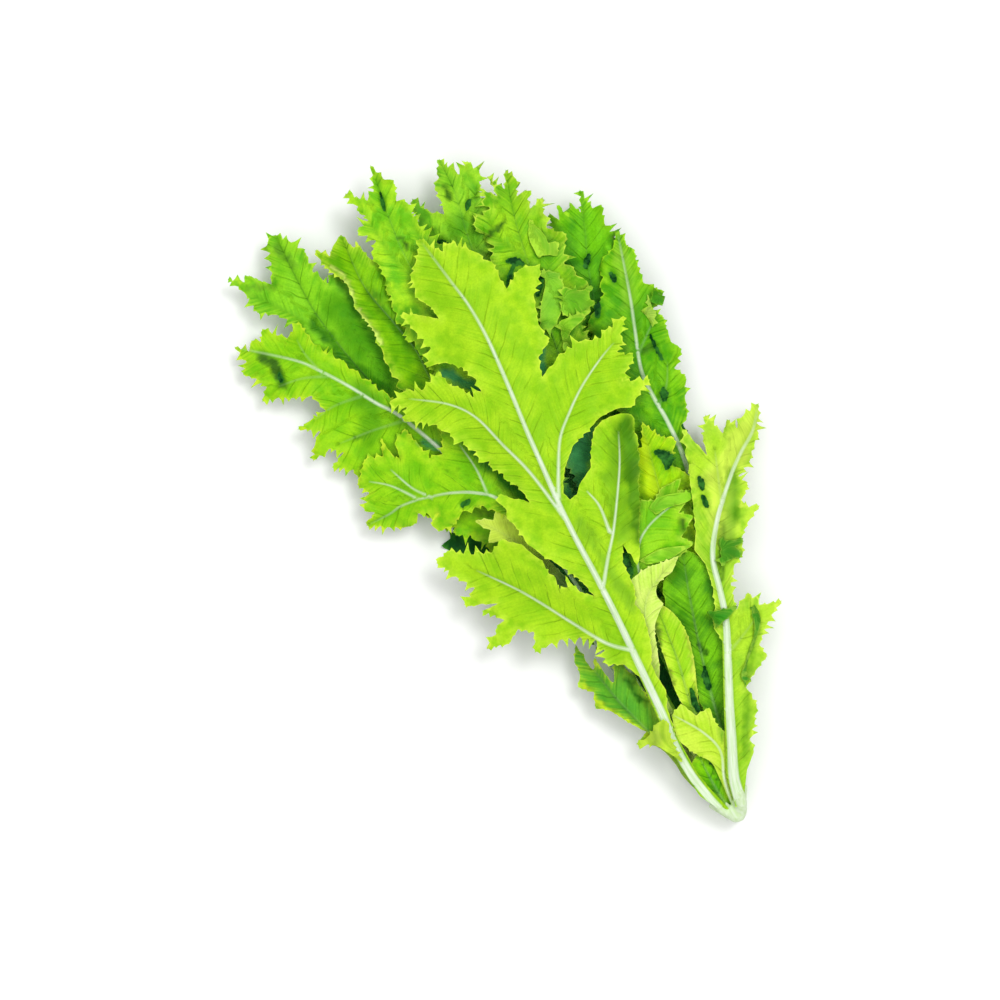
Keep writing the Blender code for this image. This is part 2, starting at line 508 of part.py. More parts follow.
def spread_lift(needed, edges, count):
    """A smooth lift for every point of a leaf that is nowhere less than needed."""
    ends = np.concatenate([edges, edges[:, ::-1]])
    links = np.bincount(ends[:, 0], minlength=count)
    lift = needed.copy()
    for _ in range(SMOOTH_STEPS):
        around = np.bincount(ends[:, 0], weights=lift[ends[:, 1]], minlength=count) / links
        lift = np.maximum(needed, around * SPREAD)
    return lift


def settle(points, triangles, bottom, pile):
    """How far each point of a leaf must be lifted for its underside to clear the pile below."""
    corners, weights, cells = triangle_samples(points, triangles)
    floor = widened(pile)[cells]
    sides = np.concatenate([triangles[:, :2], triangles[:, 1:], triangles[:, ::2]])
    edges = np.unique(np.sort(sides, axis=1), axis=0)
    needed = np.maximum(0.0, -bottom)
    lift = needed
    for _ in range(SETTLE_ROUNDS):
        short = floor - np.einsum("ij,ij->i", (bottom + lift)[corners], weights)
        if short.max() < CLOSE_ENOUGH:
            break
        raised = lift.copy()
        for k in range(3):
            touched = (short > 0) & (weights[:, k] > LEAST_WEIGHT)
            np.maximum.at(raised, corners[touched, k], (lift[corners[:, k]] + short)[touched])
        needed = np.maximum(needed, raised * (raised > lift))
        lift = spread_lift(needed, edges, len(points))
    return lift


def add_to_pile(pile, points, triangles, top):
    """Raise the pile's cells to the top of a leaf."""
    corners, weights, cells = triangle_samples(points, triangles)
    np.maximum.at(pile, cells, np.einsum("ij,ij->i", top[corners], weights) + LEAF_GAP)


def make_material(name):
    """A plain moist-leaf surface in one colour."""
    material = bpy.data.materials.new(name)
    material.use_nodes = True
    shader = material.node_tree.nodes["Principled BSDF"]
    shader.inputs["Base Color"].default_value = (*COLOURS[name], 1.0)
    shader.inputs["Roughness"].default_value = 0.5
    shader.inputs["Metallic"].default_value = 0.0
    return material


def add_object(name, points, faces, colour):
    """Make a mesh object from millimetre points, moved so that the rest spot is the origin."""
    shift = np.array((REST_SPOT[0], REST_SPOT[1], 0.0))
    mesh = bpy.data.meshes.new(name)
    mesh.from_pydata([tuple(p) for p in (np.array(points) - shift) * MM], [], faces)
    mesh.materials.append(make_material(colour))
    mesh.update()
    part = bpy.data.objects.new(name, mesh)
    bpy.context.collection.objects.link(part)


def closed_blade(points, triangles, top, bottom):
    """Corners and faces of the solid between two height maps over one plan."""
    count = len(points)
    corners = [(x, y, z) for (x, y), z in zip(points, top)]
    corners += [(x, y, z) for (x, y), z in zip(points, bottom)]
    faces = [tuple(int(k) for k in t) for t in triangles]
    sides = {}
    for a, b, c in faces:
        for side in ((a, b), (b, c), (c, a)):
            sides[side] = sides.get(side, 0) + 1
    walls = [side for side in sides if side[::-1] not in sides]
    faces += [(c + count, b + count, a + count) for a, b, c in faces]
    for a, b in walls:
        faces += [(b, a, a + count), (b, a + count, b + count)]
    return corners, faces


def rest_triangle():
    """Corners of the flat triangle round the origin."""
    angles = [math.radians(90 + 120 * k) for k in range(3)]
    return [(REST_SPOT[0] + REST_SPOT_SIZE * math.cos(a), REST_SPOT[1] + REST_SPOT_SIZE * math.sin(a))
            for a in angles]


def add_leaf(leaf, seed, pile):
    """Lay one leaf on the pile."""
    rng = random.Random(seed)
    routes = rib_routes(leaf, RIB_STEP)
    outline = leaf_outline(leaf, *routes[0], rng)
    points, triangles = triangulate(outline, routes, rest_triangle() if seed == 0 else [])
    middle = natural_height(leaf, seed, points, routes[0][0])
    ribs = relief(points, routes)
    top = middle + BLADE_THICKNESS / 2 + ribs * RIB_HEIGHT
    bottom = middle - BLADE_THICKNESS / 2 - ribs * RIB_DEPTH
    lift = settle(points, triangles, bottom, pile)
    top += lift
    bottom += lift
    if seed == 0:
        on_spot = np.hypot(*(points - REST_SPOT).T) < FILL_CLEARANCE
        bottom[on_spot] = 0.0
    add_to_pile(pile, points, triangles, top)
    add_object(leaf.name, *closed_blade(points, triangles, top, bottom), leaf.colour)


def add_stump():
    """The cut stump: a short, rounded knob with a flat face that the stalks grow from."""
    corners = []
    for share, size in STUMP_RINGS:
        y = STUMP_BACK_Y + (STUMP_FRONT_Y - STUMP_BACK_Y) * share
        for k in range(STUMP_SIDES):
            angle = 2 * math.pi * k / STUMP_SIDES
            across, up = (math.copysign(abs(part) ** STUMP_ROUNDNESS, part)
                          for part in (math.cos(angle), math.sin(angle)))
            corners.append((STUMP_RADIUS[0] * size * across, y, STUMP_RADIUS[1] * (1 + size * up)))
    faces = [tuple(range(STUMP_SIDES)), tuple(reversed(range(len(corners) - STUMP_SIDES, len(corners))))]
    for ring in range(len(STUMP_RINGS) - 1):
        for k in range(STUMP_SIDES):
            a, b = ring * STUMP_SIDES + k, ring * STUMP_SIDES + (k + 1) % STUMP_SIDES
            faces.append((a, a + STUMP_SIDES, b + STUMP_SIDES, b))
    add_object("root_stump", corners, faces, STUMP_COLOUR)


def main():
    for old in list(bpy.data.objects):
        bpy.data.objects.remove(old, do_unlink=True)
    pile = np.zeros(TABLE_CELLS)
    for seed, leaf in enumerate(LEAVES):
        add_leaf(leaf, seed, pile)
    add_stump()


main()
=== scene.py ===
import math
import random
from typing import NamedTuple

import bpy
import numpy as np
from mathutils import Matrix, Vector, geometry, noise
from mathutils.bvhtree import BVHTree
from mathutils.kdtree import KDTree


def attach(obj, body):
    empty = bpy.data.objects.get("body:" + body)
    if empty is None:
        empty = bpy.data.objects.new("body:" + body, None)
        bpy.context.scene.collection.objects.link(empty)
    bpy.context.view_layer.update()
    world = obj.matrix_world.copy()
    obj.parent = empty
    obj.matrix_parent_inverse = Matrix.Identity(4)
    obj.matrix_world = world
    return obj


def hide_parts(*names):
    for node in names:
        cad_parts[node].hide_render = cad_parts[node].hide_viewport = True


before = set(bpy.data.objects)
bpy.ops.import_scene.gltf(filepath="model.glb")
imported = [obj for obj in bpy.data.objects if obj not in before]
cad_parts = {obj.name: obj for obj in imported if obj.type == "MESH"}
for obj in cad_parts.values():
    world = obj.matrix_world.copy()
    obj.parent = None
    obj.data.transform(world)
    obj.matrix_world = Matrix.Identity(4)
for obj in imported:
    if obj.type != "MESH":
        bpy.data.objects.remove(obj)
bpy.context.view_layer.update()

# Lengths are in millimetres until a mesh is made. Sketched points are (x, y) from the stump.
MM = 0.001
REST_SPOT = np.array((3.0, 152.0))  # the frame's origin lies under this point of the head

# How the solids are made: blade thickness, and rib height and depth as shares of its half-width
SOLID_BLADE = 1.0
SOLID_RIB_HEIGHT = 0.7
SOLID_RIB_DEPTH = 0.4
SAME_PLACE = 0.02  # corners of a solid this close in plan lie above each other

# Blades and ribs
BLADE = 0.6
RIB_HEIGHT = 0.8
RIB_DEPTH = 0.45
RIB_TAPER = 0.85  # share of its width that a rib loses by its tip
RIB_TAPER_POWER = 0.6
SIDE_RIB_SHARE = 0.38  # width of a side rib, as a share of the midrib's
RIB_ROWS = (0.0, -0.5, 0.5, -0.9, 0.9)  # lines of points across a rib, in half-widths
RIB_RIM = 0.4  # the outermost line of points lies this far outside the rib
NARROW_RIB = 0.9  # a rib that is nowhere wider than this has only its middle and outermost lines
WHITE_POWER = 8  # a rib's white fades out only near its tip
WHITE_SPILL = 0.25  # and this far outside its sides
WHITE_BLEND = 0.4  # over this distance
WHITE_STALK = 0.5  # a midrib at least this white is white all over near the stump
PALE_BASE = (16.0, 34.0)  # up to the first distance from the stump, and not past the second
STALK_END = 6.8  # the solids' stalks end just short of this
STALK_SINK = 3.2  # how far the stalks run on into the stump
DIVE = 2.6  # and how far they go down into it
SUNK_WIDTH = 0.55  # share of its width that a stalk keeps there
SUNK_CLOSER = 0.62  # and of its way out from the axis
NECK_END = 0.1  # a narrow neck reaches its full width this share of the way up

# The mesh of a blade
ROUTE_PARTS = 10  # straight parts from one sketched point to the next
ROUTE_STEP = 1.4
GRID_STEP = 1.7
SHAKE = 0.2
ROW_SHARE = math.sqrt(0.75)  # the grid is of even triangles
RIB_CLEARANCE = 0.3
HOLE_CLEARANCE = 0.5
GRID_CLEARANCE = 0.85
KEEP_INSIDE = 1  # the triangulation leaves out what lies outside the outline
MERGED = 1e-5  # and joins points closer than this
SHARP_ANGLE = math.radians(55)
UNIT_TRIANGLE = [Vector(corner) for corner in np.eye(3)]

# Teeth
TOOTH_PITCH = 3.5
TOOTH_WIDTHS = (0.45, 1.6)
TOOTH_HEIGHT = 5.0
TOOTH_LEAN = 0.72
LEAN_CHANGE = (0.75, 1.25)
TOOTH_SHAPE = ((0.5, 0.34), (1.0, 1.0))  # (share of the way to the tip, share of the height)
TOOTH_BACK = (0.5, 0.38)
TOOTH_ROOM = 0.3  # share of the way to the next side of the outline that a tooth may reach
HOLLOW_ROOM = 0.15  # and that a hollow may
SMALL_TOOTH = 0.15  # the least height, as a share of the largest
TOOTH_SKEW = 1.7  # most teeth are small
FULL_TEETH = 9.0  # teeth reach full size this far from the midrib
LEAST_TEETH = 0.25
CROWN = (0.6, 0.8)  # and between these shares of the way up it
SIDE_ROOM = 0.06  # share of a side that stays free of teeth at each end
TIP_REACH = 2.5  # teeth are smaller this close to a tip
HORN_REACH = 1.6
HORN_SIZES = (0.3, 1.0)
HORN_ROOM = 0.25
HOLLOW = 0.05
MOST_HOLLOW = 0.7
SHARP_TURN = 0.5  # sine of the turn from which a tip stays sharp
SHARP_VALLEY = -0.8  # and of the turn back from which a valley does
ROUNDINGS = 2
CORNER_SHARE = 0.75  # where a blunt corner is cut off, between its neighbour and itself
CALM_TEETH = 0.15  # share of their size that teeth keep where the edge is calm
SMOOTH_TEETH = 0.5  # a leaf with smaller teeth than this has its blunt corners rounded
BARE_MARGIN = 1.4  # no teeth this close to the midrib's sides
BARE_BASE = 20.0  # nor this close to the stump
FAR = 100.0  # how far the next side counts as lying where there is none

# Relief of the blades: each noise is read at heights of its own, so that no two are alike
FRILL_LENGTH = 9.0
FRILL_HEIGHT = 5.0
FRILL_REACH = 5.0
CURL_LENGTH = 3.4
CURL_HEIGHT = 2.6
CURL_REACH = 1.8
CURL_LAYER = 20.0
QUILT_LENGTH = 4.6
QUILT_HEIGHT = 1.3
QUILT_LAYER = 50.0
LEAF_LAYER = 3.7
FREE_REACH = 4.0  # waves reach full height this far from a rib
SMOOTH_STEPS = 16
DENT = 1.2  # depth of the dent under a dark painted hole
HOLE_END = 0.3  # share of its width that a hole keeps at its ends
HOLE_TAPER = (0.1, 0.8)  # the part of a half wave that its width follows
PLACE_STEP = 1.0
PLACE_CORE = 1.5  # a painted place reaches full strength well inside its sides
WANDER = 0.6  # how far the edge of a painted place wanders, in half-widths
LEAST_COVER = 0.01  # keeps a division clear of zero

# The pile that the leaves lie on
CELL = 0.8
PILE_LOW = np.array((-115.0, -175.0))
PILE_CELLS = np.array((280, 430))
GAP = 0.15  # the least distance between a leaf and those below it
# Where each triangle is measured, by the weights of its corners
SAMPLE_SHARES = ((1, 0, 0), (0, 1, 0), (0, 0, 1), (0.5, 0.5, 0), (0, 0.5, 0.5), (0.5, 0, 0.5),
                 (0.34, 0.33, 0.33))
TOUCHED = 0.3  # a corner with more weight than this is lifted too
SETTLED = 0.01  # a blade that is short of less than this has settled
SPREAD = 0.985  # share of its lift that a point hands on to its neighbours
SPREAD_STEPS = 40
SETTLE_ROUNDS = 8
# How sheltered each point is from the sky, which the skins paint in as dark shade in the gaps
SHELTER_REACH = (1.6, 3.2, 6.4)
SHELTER_WAYS = 12
COVERED = 0.8  # a point with more than this above it can't be seen
MOST_SHELTER = 0.5  # so it counts as no more sheltered than this

# Lobes
LOBE_SEED = 5
LOBE_TEETH = 0.8  # teeth of a lobe, as a share of its leaf's
LOBE_ARCH = (0.1, 0.75)  # the start and the length of the part of a half wave that it is curled along
LOBE_COVERS = (0.9, 0.55)  # how much a dark lobe's painted shade hides its leaf's colour, and a pale lobe's colour does
LOBE_FAN = 6.0  # a lobe's streaks fan out from its root, this wide for each radian
LOBE_RUN = 0.4  # and are drawn out along it by this
ROOT_REACH = 3.0  # it grows out of its leaf this close to its root

# The stump: a core as (x, y, half-width), and stalks that run into it
STUMP_CORE = ((-0.8, -2.7, 1.8), (-0.5, -1.2, 3.4), (0.0, 2.0, 4.4), (0.3, 4.6, 3.8))
STUMP_CORE_HEIGHTS = (6.0, 12.0, 18.5)
STUMP_AXIS = (0.3, 14.0)  # x and height that the stalks draw together to
# Stations of a stalk: y, share of its way out from the axis, swelling, and how far its side may reach
STALK_RUN = ((4.0, 0.74, 1.14, 6.2), (0.6, 0.44, 1.0, 4.3), (-1.2, 0.3, 0.6, 3.0))
THIN_START = 0.4  # a thin stalk starts as a point, so that no stub shows
STALK_JOIN = 9.0
LEAST_STALK = 1.0
TUBE_SIDES = 14
STUMP_VOXEL = 0.5
STUMP_SMOOTHING = 9

# Skins: sizes of noise, and ranges as (from, to) or as (from, to, low, high)
LEAF_ROUGHNESS = 0.5
SHINE = 0.06
SKIN_SHIFT = 37.0  # the noise of each leaf is read at a place of its own
STREAK_SHIFT = 3.3  # and its streaks likewise
SOFT = (0.35, 0.65)
FINE_DETAIL = 3.0
RIB_SHIFT = 37.0  # the side veins of each rib start from their own place
VEIN_PITCH = 7.0
VEIN_SLOPE = 1.05
# darkness of the tone of the veins and the grain, and of the painted shade along the ribs
VEIN_AND_SHADOW_DARKNESS = 0.62
VEIN_STRENGTH = 0.46
VEIN_WANDER = (12.0, 5.0)  # size and strength of the noise that bends the veins
VEIN_LINE = (0.015, 0.06, 1.0, 0.0)
VEIN_PATCH = 7.0
VEIN_SEEN = (0.42, 0.56, 0.25, 1.0)
VEIN_FADE = (14.0, 3.0)  # veins fade out over this distance from a rib
STREAK_FADE = (14.0, 4.0)  # and streaks over this
SEAM_WIDTH = 2.5  # and both where they are as near to the next rib, within this
STREAKS = (1.2, 14.0)  # width and length
FIBRES = (9.0, 0.5)
PLAIN_SIZE = 3.0
PATCH_SIZE = 12.0
STREAK_SHARE = 0.36
# painted light on the crests of the relief and painted shade in its hollows
CREST_SHADING_SHARE = 0.12
SHADE_RANGE = (0.385, 0.61)
GRAIN_SIZE = 0.8
GRAIN_RANGE = (*SOFT, 0.0, 0.22)
TINT_DIM = 0.72  # how much darker a painted place is between its streaks
TINT_OVER_EDGE = 0.8  # how much of the edge's colour it hides
TINT_BREAKS = (*SOFT, -0.12, 0.12)
TINT_RANGE = (0.12, 0.85, 0.0, 0.97)
GLOW_REACH = (3.5, 0.0)
GLOW_STREAKS = (0.4, 0.6, 0.05, 0.5)
RIM_REACH = (0.5, 0.15)
RIM_PATCHES = (0.42, 0.58, 0.2, 0.9)
RIB_SHADOW_REACH = (1.8, 0.1)  # painted shade: the blade is darker along the sides of a rib, as in the rib's shadow
RIB_SHADOW_STRENGTH = 0.34
# painted shade in the gaps, by how sheltered a point is
GAP_SHADE_RANGE = (0.3, 0.85, 0.0, 0.6)
JAG_SIZE = 1.4
JAG_DEPTH = 0.9
# painted shade around each painted hole
HOLE_SHADE_SURROUND = (-0.9, 0.1, 0.0, 0.42)
HOLE_EDGE = (0.04, 0.24)
HOLE_PATCHES = (0.4, 0.6)
LEAF_BUMPS = (0.6, 0.5)  # strength and height
STUMP_ROUGHNESS = 0.45
STUMP_STRETCH = (1, 0.12, 1)
STUMP_STREAK = 1.1
STUMP_BUMPS = (0.4, 0.3)

# Colours, each channel 0 to 255 as displayed
TONE_SHARE = 0.85  # the lights are a little stronger than the floor needs to look white
RIB_TONES = ((210, 238, 184), (238, 251, 228))
# The next seven tones are painted shade: in the gaps between leaves, in dark patches, folds and curled
# tips, and in painted holes
GAP_SHADE_TONE = (10, 70, 30)
DARK_SHADE = (30, 84, 10)
OLIVE_SHADE = (62, 112, 26)
HOLE_SHADE_TONES = ((14, 70, 24), (52, 122, 40))
TEAL_SHADE = (66, 156, 92)
SOFT_SHADE = (70, 156, 6)
DEEP_SHADE = (38, 112, 8)
PALE = (222, 250, 116)
YELLOW = (212, 248, 44)
STUMP_TONES = ((210, 236, 180), (230, 248, 214))

# Surroundings: camera lengths in metres, and lamps as (name, strength, width in degrees, way to it)
FLOOR_SIZE = 6000.0
FLOOR_ROUGHNESS = 0.9
FLOOR_TONE = (0.93, 0.93, 0.93, 1.0)
SKY_STRENGTH = 0.42
LAMPS = (("overhead", 1.75, 60, (0.0, 0.0, 1.0)), ("key", 1.0, 16, (0.34, 0.09, 1.0)))
CAMERA_HEIGHT = 5.0
VIEW_WIDTH = 0.400
VIEW_CENTRE = (-0.0238, 0.0046)
FOCUS_HEIGHT = 0.025
VIEW_END = 20.0
CAMERA_ROLL = math.radians(-29.5)


class Leaf(NamedTuple):
    """One leaf's look. The ribs are routes from the stump, or from the midrib, outwards."""

    light: tuple
    deep: tuple
    edge: tuple
    midrib: tuple
    ribs: tuple = ()
    stalk: float = 1.0  # half-width of the midrib at the stump
    neck: float = 1.0  # share of that half-width right at the stump
    white: tuple = (0.05, 0.0)  # how white the midrib is, and the side ribs
    crimp: float = 0.6
    teeth: float = 1.0
    calm: tuple = ()  # boxes, each by two corners, in which the edge is nearly smooth
    rise: float = 0.0  # how far the free end bends up


# The leaves in the order in which they lie, from the table up
LEAVES = {
    "leaf_under_left": Leaf(
        (58, 144, 44), (24, 96, 30), (92, 176, 50),
        ((-4.4, 6), (-6, 40), (-7, 90), (-7, 150), (-13, 215), (-30, 268)),
        (((-9, 100), (-22, 116), (-38, 140)), ((-10, 125), (4, 138), (18, 144)),
         ((-13, 160), (-30, 176), (-52, 190)), ((-15, 178), (0, 192), (17, 190))), stalk=1.8, teeth=0.6),
    "leaf_under_right": Leaf(
        (58, 144, 44), (24, 96, 30), (92, 176, 50),
        ((4.4, 6), (11, 60), (22, 110), (33, 160), (41, 200), (46, 240)),
        (((19, 98), (30, 112), (48, 128)), ((27, 130), (18, 150), (12, 168)),
         ((34, 165), (48, 178), (62, 186))), stalk=1.8, teeth=0.6),
    "leaf_right_top": Leaf(
        (126, 214, 20), (76, 164, 12), (172, 232, 44),
        ((6.6, 6), (20, 70), (34, 140), (46, 190), (55, 218), (62, 234), (68, 248)),
        (((41, 170), (34, 184), (35, 196)), ((51, 205), (60, 210), (67, 216))), crimp=1.1),
    "leaf_right_back": Leaf(
        (136, 214, 20), (82, 172, 12), (182, 236, 44),
        ((6.9, 6), (24, 60), (42, 100), (51, 132), (53, 150), (53, 162), (54, 174), (60, 190), (65, 203),
         (73, 227)),
        (((53, 158), (60, 164), (65, 172)), ((56, 180), (64, 186), (70, 190)),
         ((52, 140), (46, 150), (43, 158))), stalk=1.9, white=(0.9, 0.1), crimp=0.8, teeth=0.6),
    "leaf_far_left": Leaf(
        (146, 224, 34), (96, 184, 20), (182, 234, 50),
        ((-6.6, 6), (-13, 80), (-20, 140), (-33, 190), (-43, 225), (-48, 255), (-48, 275), (-47, 293)),
        (((-46, 245), (-54, 258), (-66, 276)), ((-39, 212), (-32, 228), (-31, 246))), crimp=0.7),
    "leaf_top_right": Leaf(
        (168, 234, 46), (106, 190, 30), (200, 242, 68),
        ((2.2, 6), (6, 90), (9, 170), (14, 220), (20, 255), (24, 272), (25, 286)),
        (((17, 240), (24, 256), (32, 270)), ((16, 232), (10, 248), (8, 266))), crimp=1.3, teeth=1.2),
    "leaf_fold": Leaf(
        (144, 212, 8), (98, 176, 4), (208, 238, 66),
        ((-2.2, 6), (-6, 80), (-11, 150), (-18, 190), (-21, 212), (-20.5, 225), (-23, 240), (-26, 258),
         (-24, 280)), white=(0.1, 0.1), crimp=0.3, teeth=0.4),
    "leaf_left": Leaf(
        (162, 228, 22), (122, 204, 16), (200, 236, 48),
        ((-6.8, 6), (-13, 60), (-18, 120), (-27, 170), (-38, 203), (-45, 215), (-51, 226), (-58, 237),
         (-65, 246), (-83, 262)),
        (((-48, 220), (-60, 222), (-70, 221)), ((-38, 203), (-52, 206), (-66, 208)),
         ((-57, 234), (-66, 238), (-76, 240)), ((-58, 236), (-60, 246), (-60, 253))),
        stalk=1.9, white=(0.95, 0.1), crimp=0.6, teeth=0.9),
    "leaf_top": Leaf(
        (182, 240, 36), (116, 202, 26), (194, 242, 56),
        ((-2, 6), (-2, 90), (-3, 170), (-4, 225), (-6, 255), (-4, 276), (0, 298)),
        (((-5, 240), (-10, 262), (-12, 284)), ((-5, 245), (2, 256), (3, 270))), crimp=1.1),
    "leaf_curly": Leaf(
        (164, 226, 32), (106, 188, 20), (206, 242, 76),
        ((2.2, 6), (14, 90), (24, 170), (32, 215), (37, 240), (41, 256), (46, 270)),
        (((33, 218), (42, 228), (48, 238)), ((28, 195), (22, 212), (22, 222)),
         ((36, 236), (30, 248), (31, 258))), crimp=1.4, teeth=1.2),
    "leaf_star": Leaf(
        (238, 254, 140), (224, 250, 110), (240, 254, 150),
        ((-2.2, 6), (-8, 50), (-12, 100), (-20, 130), (-28, 147), (-35, 155.5)), crimp=0.3, teeth=0.2,
        rise=9.0),
    "leaf_left_low": Leaf(
        (166, 230, 26), (122, 204, 16), (210, 240, 54),
        ((-6.4, 6), (-9, 50), (-10, 100), (-14, 140), (-21, 157), (-28, 164), (-36, 168.5), (-43, 171),
         (-50, 173), (-57, 174), (-62, 173.5), (-72, 174)),
        (((-44, 171), (-49, 178), (-53, 189)), ((-49, 173), (-56, 183), (-63, 189)),
         ((-24, 161), (-23, 172), (-24, 184))), stalk=1.5, white=(0.85, 0.6), crimp=0.7, teeth=0.8),
    "leaf_basal_left": Leaf(
        (118, 198, 42), (88, 174, 42), (212, 244, 62),
        ((-7, 6), (-10, 20), (-13, 40), (-17, 55), (-20, 68), (-23, 91)), stalk=1.3, crimp=0.4, teeth=0.3),
    "leaf_heart_yellow": Leaf(
        (192, 244, 12), (142, 214, 8), (224, 250, 60),
        ((6.8, 6), (13, 40), (21, 80), (31, 108), (37, 130), (44, 155.5)),
        (((34, 118), (41, 124), (47, 129)),), crimp=0.8, teeth=0.4),
    "leaf_heart_dark": Leaf(
        (132, 212, 22), (74, 152, 12), (164, 228, 40),
        ((6.8, 6), (10.5, 30), (18, 60), (26, 85), (33, 104)), white=(0.1, 0.1), crimp=0.6, teeth=0.2),
    "leaf_heart_lobe": Leaf(
        (162, 230, 32), (116, 202, 18), (204, 242, 76),
        ((2.3, 6), (5, 40), (9, 80), (13, 103), (18, 113), (25, 118), (35, 120.5), (48, 122)),
        white=(0.8, 0.1), crimp=0.7, teeth=0.4),
    "leaf_heart_bright": Leaf(
        (206, 250, 52), (162, 226, 30), (230, 252, 90),
        ((2.3, 6), (3.5, 26), (5.5, 48), (9.5, 66), (13, 90)), white=(0.1, 0.1), crimp=0.4, teeth=0.15),
    "leaf_heart_curl": Leaf(
        (234, 255, 128), (206, 248, 90), (238, 255, 140),
        ((-2.2, 6), (-3, 30), (-3, 56), (0, 72), (8, 90), (16, 97), (30, 102)), white=(0.1, 0.1),
        crimp=0.5, teeth=0.2),
    "leaf_heart_tuft": Leaf(
        (158, 238, 10), (92, 184, 6), (206, 246, 50),
        ((-2.2, 6), (-2.5, 14), (-2, 29)), white=(0.1, 0.1), crimp=0.3, teeth=0.15),
    "leaf_heart_low": Leaf(
        (214, 248, 72), (186, 234, 44), (224, 250, 92),
        ((0.1, 6), (2.6, 16), (6.5, 26), (4, 36), (-3, 48)), stalk=0.7, white=(0.7, 0.1), crimp=0.4,
        teeth=0.25),
    "leaf_right": Leaf(
        (188, 238, 48), (150, 212, 38), (218, 250, 84),
        ((3.8, 6), (6.4, 15), (12.8, 28), (19.7, 42), (27, 56), (34, 70), (38, 82), (42, 95), (50, 106),
         (58, 114), (66, 121), (73, 126), (81, 131), (88, 139)),
        (((28, 58), (38, 62), (47, 66)), ((56, 112), (59, 120), (64, 132))),
        stalk=2.3, white=(1.0, 0.1), crimp=0.6, teeth=0.9, calm=(((33, 90), (55, 140)),)),
    "leaf_front": Leaf(
        (182, 234, 34), (150, 214, 24), (212, 246, 66),
        ((-5.2, 6), (-6.6, 12), (-8.5, 25), (-8, 40), (-6.5, 50), (-5, 70), (-3.5, 90), (-2.5, 110),
         (-2, 130), (-1, 145), (0.5, 160), (2, 175), (4.5, 195), (6.5, 215), (6.5, 230), (5, 242),
         (2.5, 262)),
        (((-4, 78), (-12, 86), (-20, 100), (-27, 113), (-33, 123), (-43, 137)),
         ((-3, 105), (5, 115), (12, 123), (20, 134), (28, 146), (34, 157.5)),
         ((-2, 138), (-5, 160), (-9, 175), (-13, 190), (-20, 200), (-33, 210)),
         ((0, 146), (5, 155), (12, 166), (20, 173), (30, 180), (42, 186), (50, 189)),
         ((11, 124), (12.5, 135), (11, 143))), stalk=1.95, neck=0.7, white=(1.0, 0.95), crimp=0.45,
        calm=(((-3, 40), (44, 163)), ((26, 206), (42, 226)))),
}

# Painted shade in the gaps under the upper leaves, and a pale stalk, that show on all but the upper leaves:
# colour, strength, half-width and route
UPPER = ("leaf_front", "leaf_right", "leaf_star", "leaf_heart_low", "leaf_heart_curl", "leaf_heart_tuft")
GAP_SHADES_AND_STALK = (
    (TEAL_SHADE, 1.0, 9.0, ((19, 166), (16, 158), (10, 151), (5, 144), (3, 138))),
    (TEAL_SHADE, 1.0, 8.0, ((-22, 128), (-18, 124), (-12, 115), (-7, 105), (-5, 98))),
    (TEAL_SHADE, 0.9, 3.6, ((-17, 211.5), (-13, 210), (-7, 198))),
    (TEAL_SHADE, 0.9, 3.4, ((18, 188), (21, 197), (26, 206))),
    (TEAL_SHADE, 0.8, 3.0, ((-36, 192), (-33, 188))),
    ((56, 132, 30), 0.9, 4.0, ((-20, 183), (-16, 166), (-12, 152))),
    ((196, 242, 60), 0.95, 3.2, ((-13, 40), (-10.5, 25), (-8, 10), (-6.5, 5))),
)
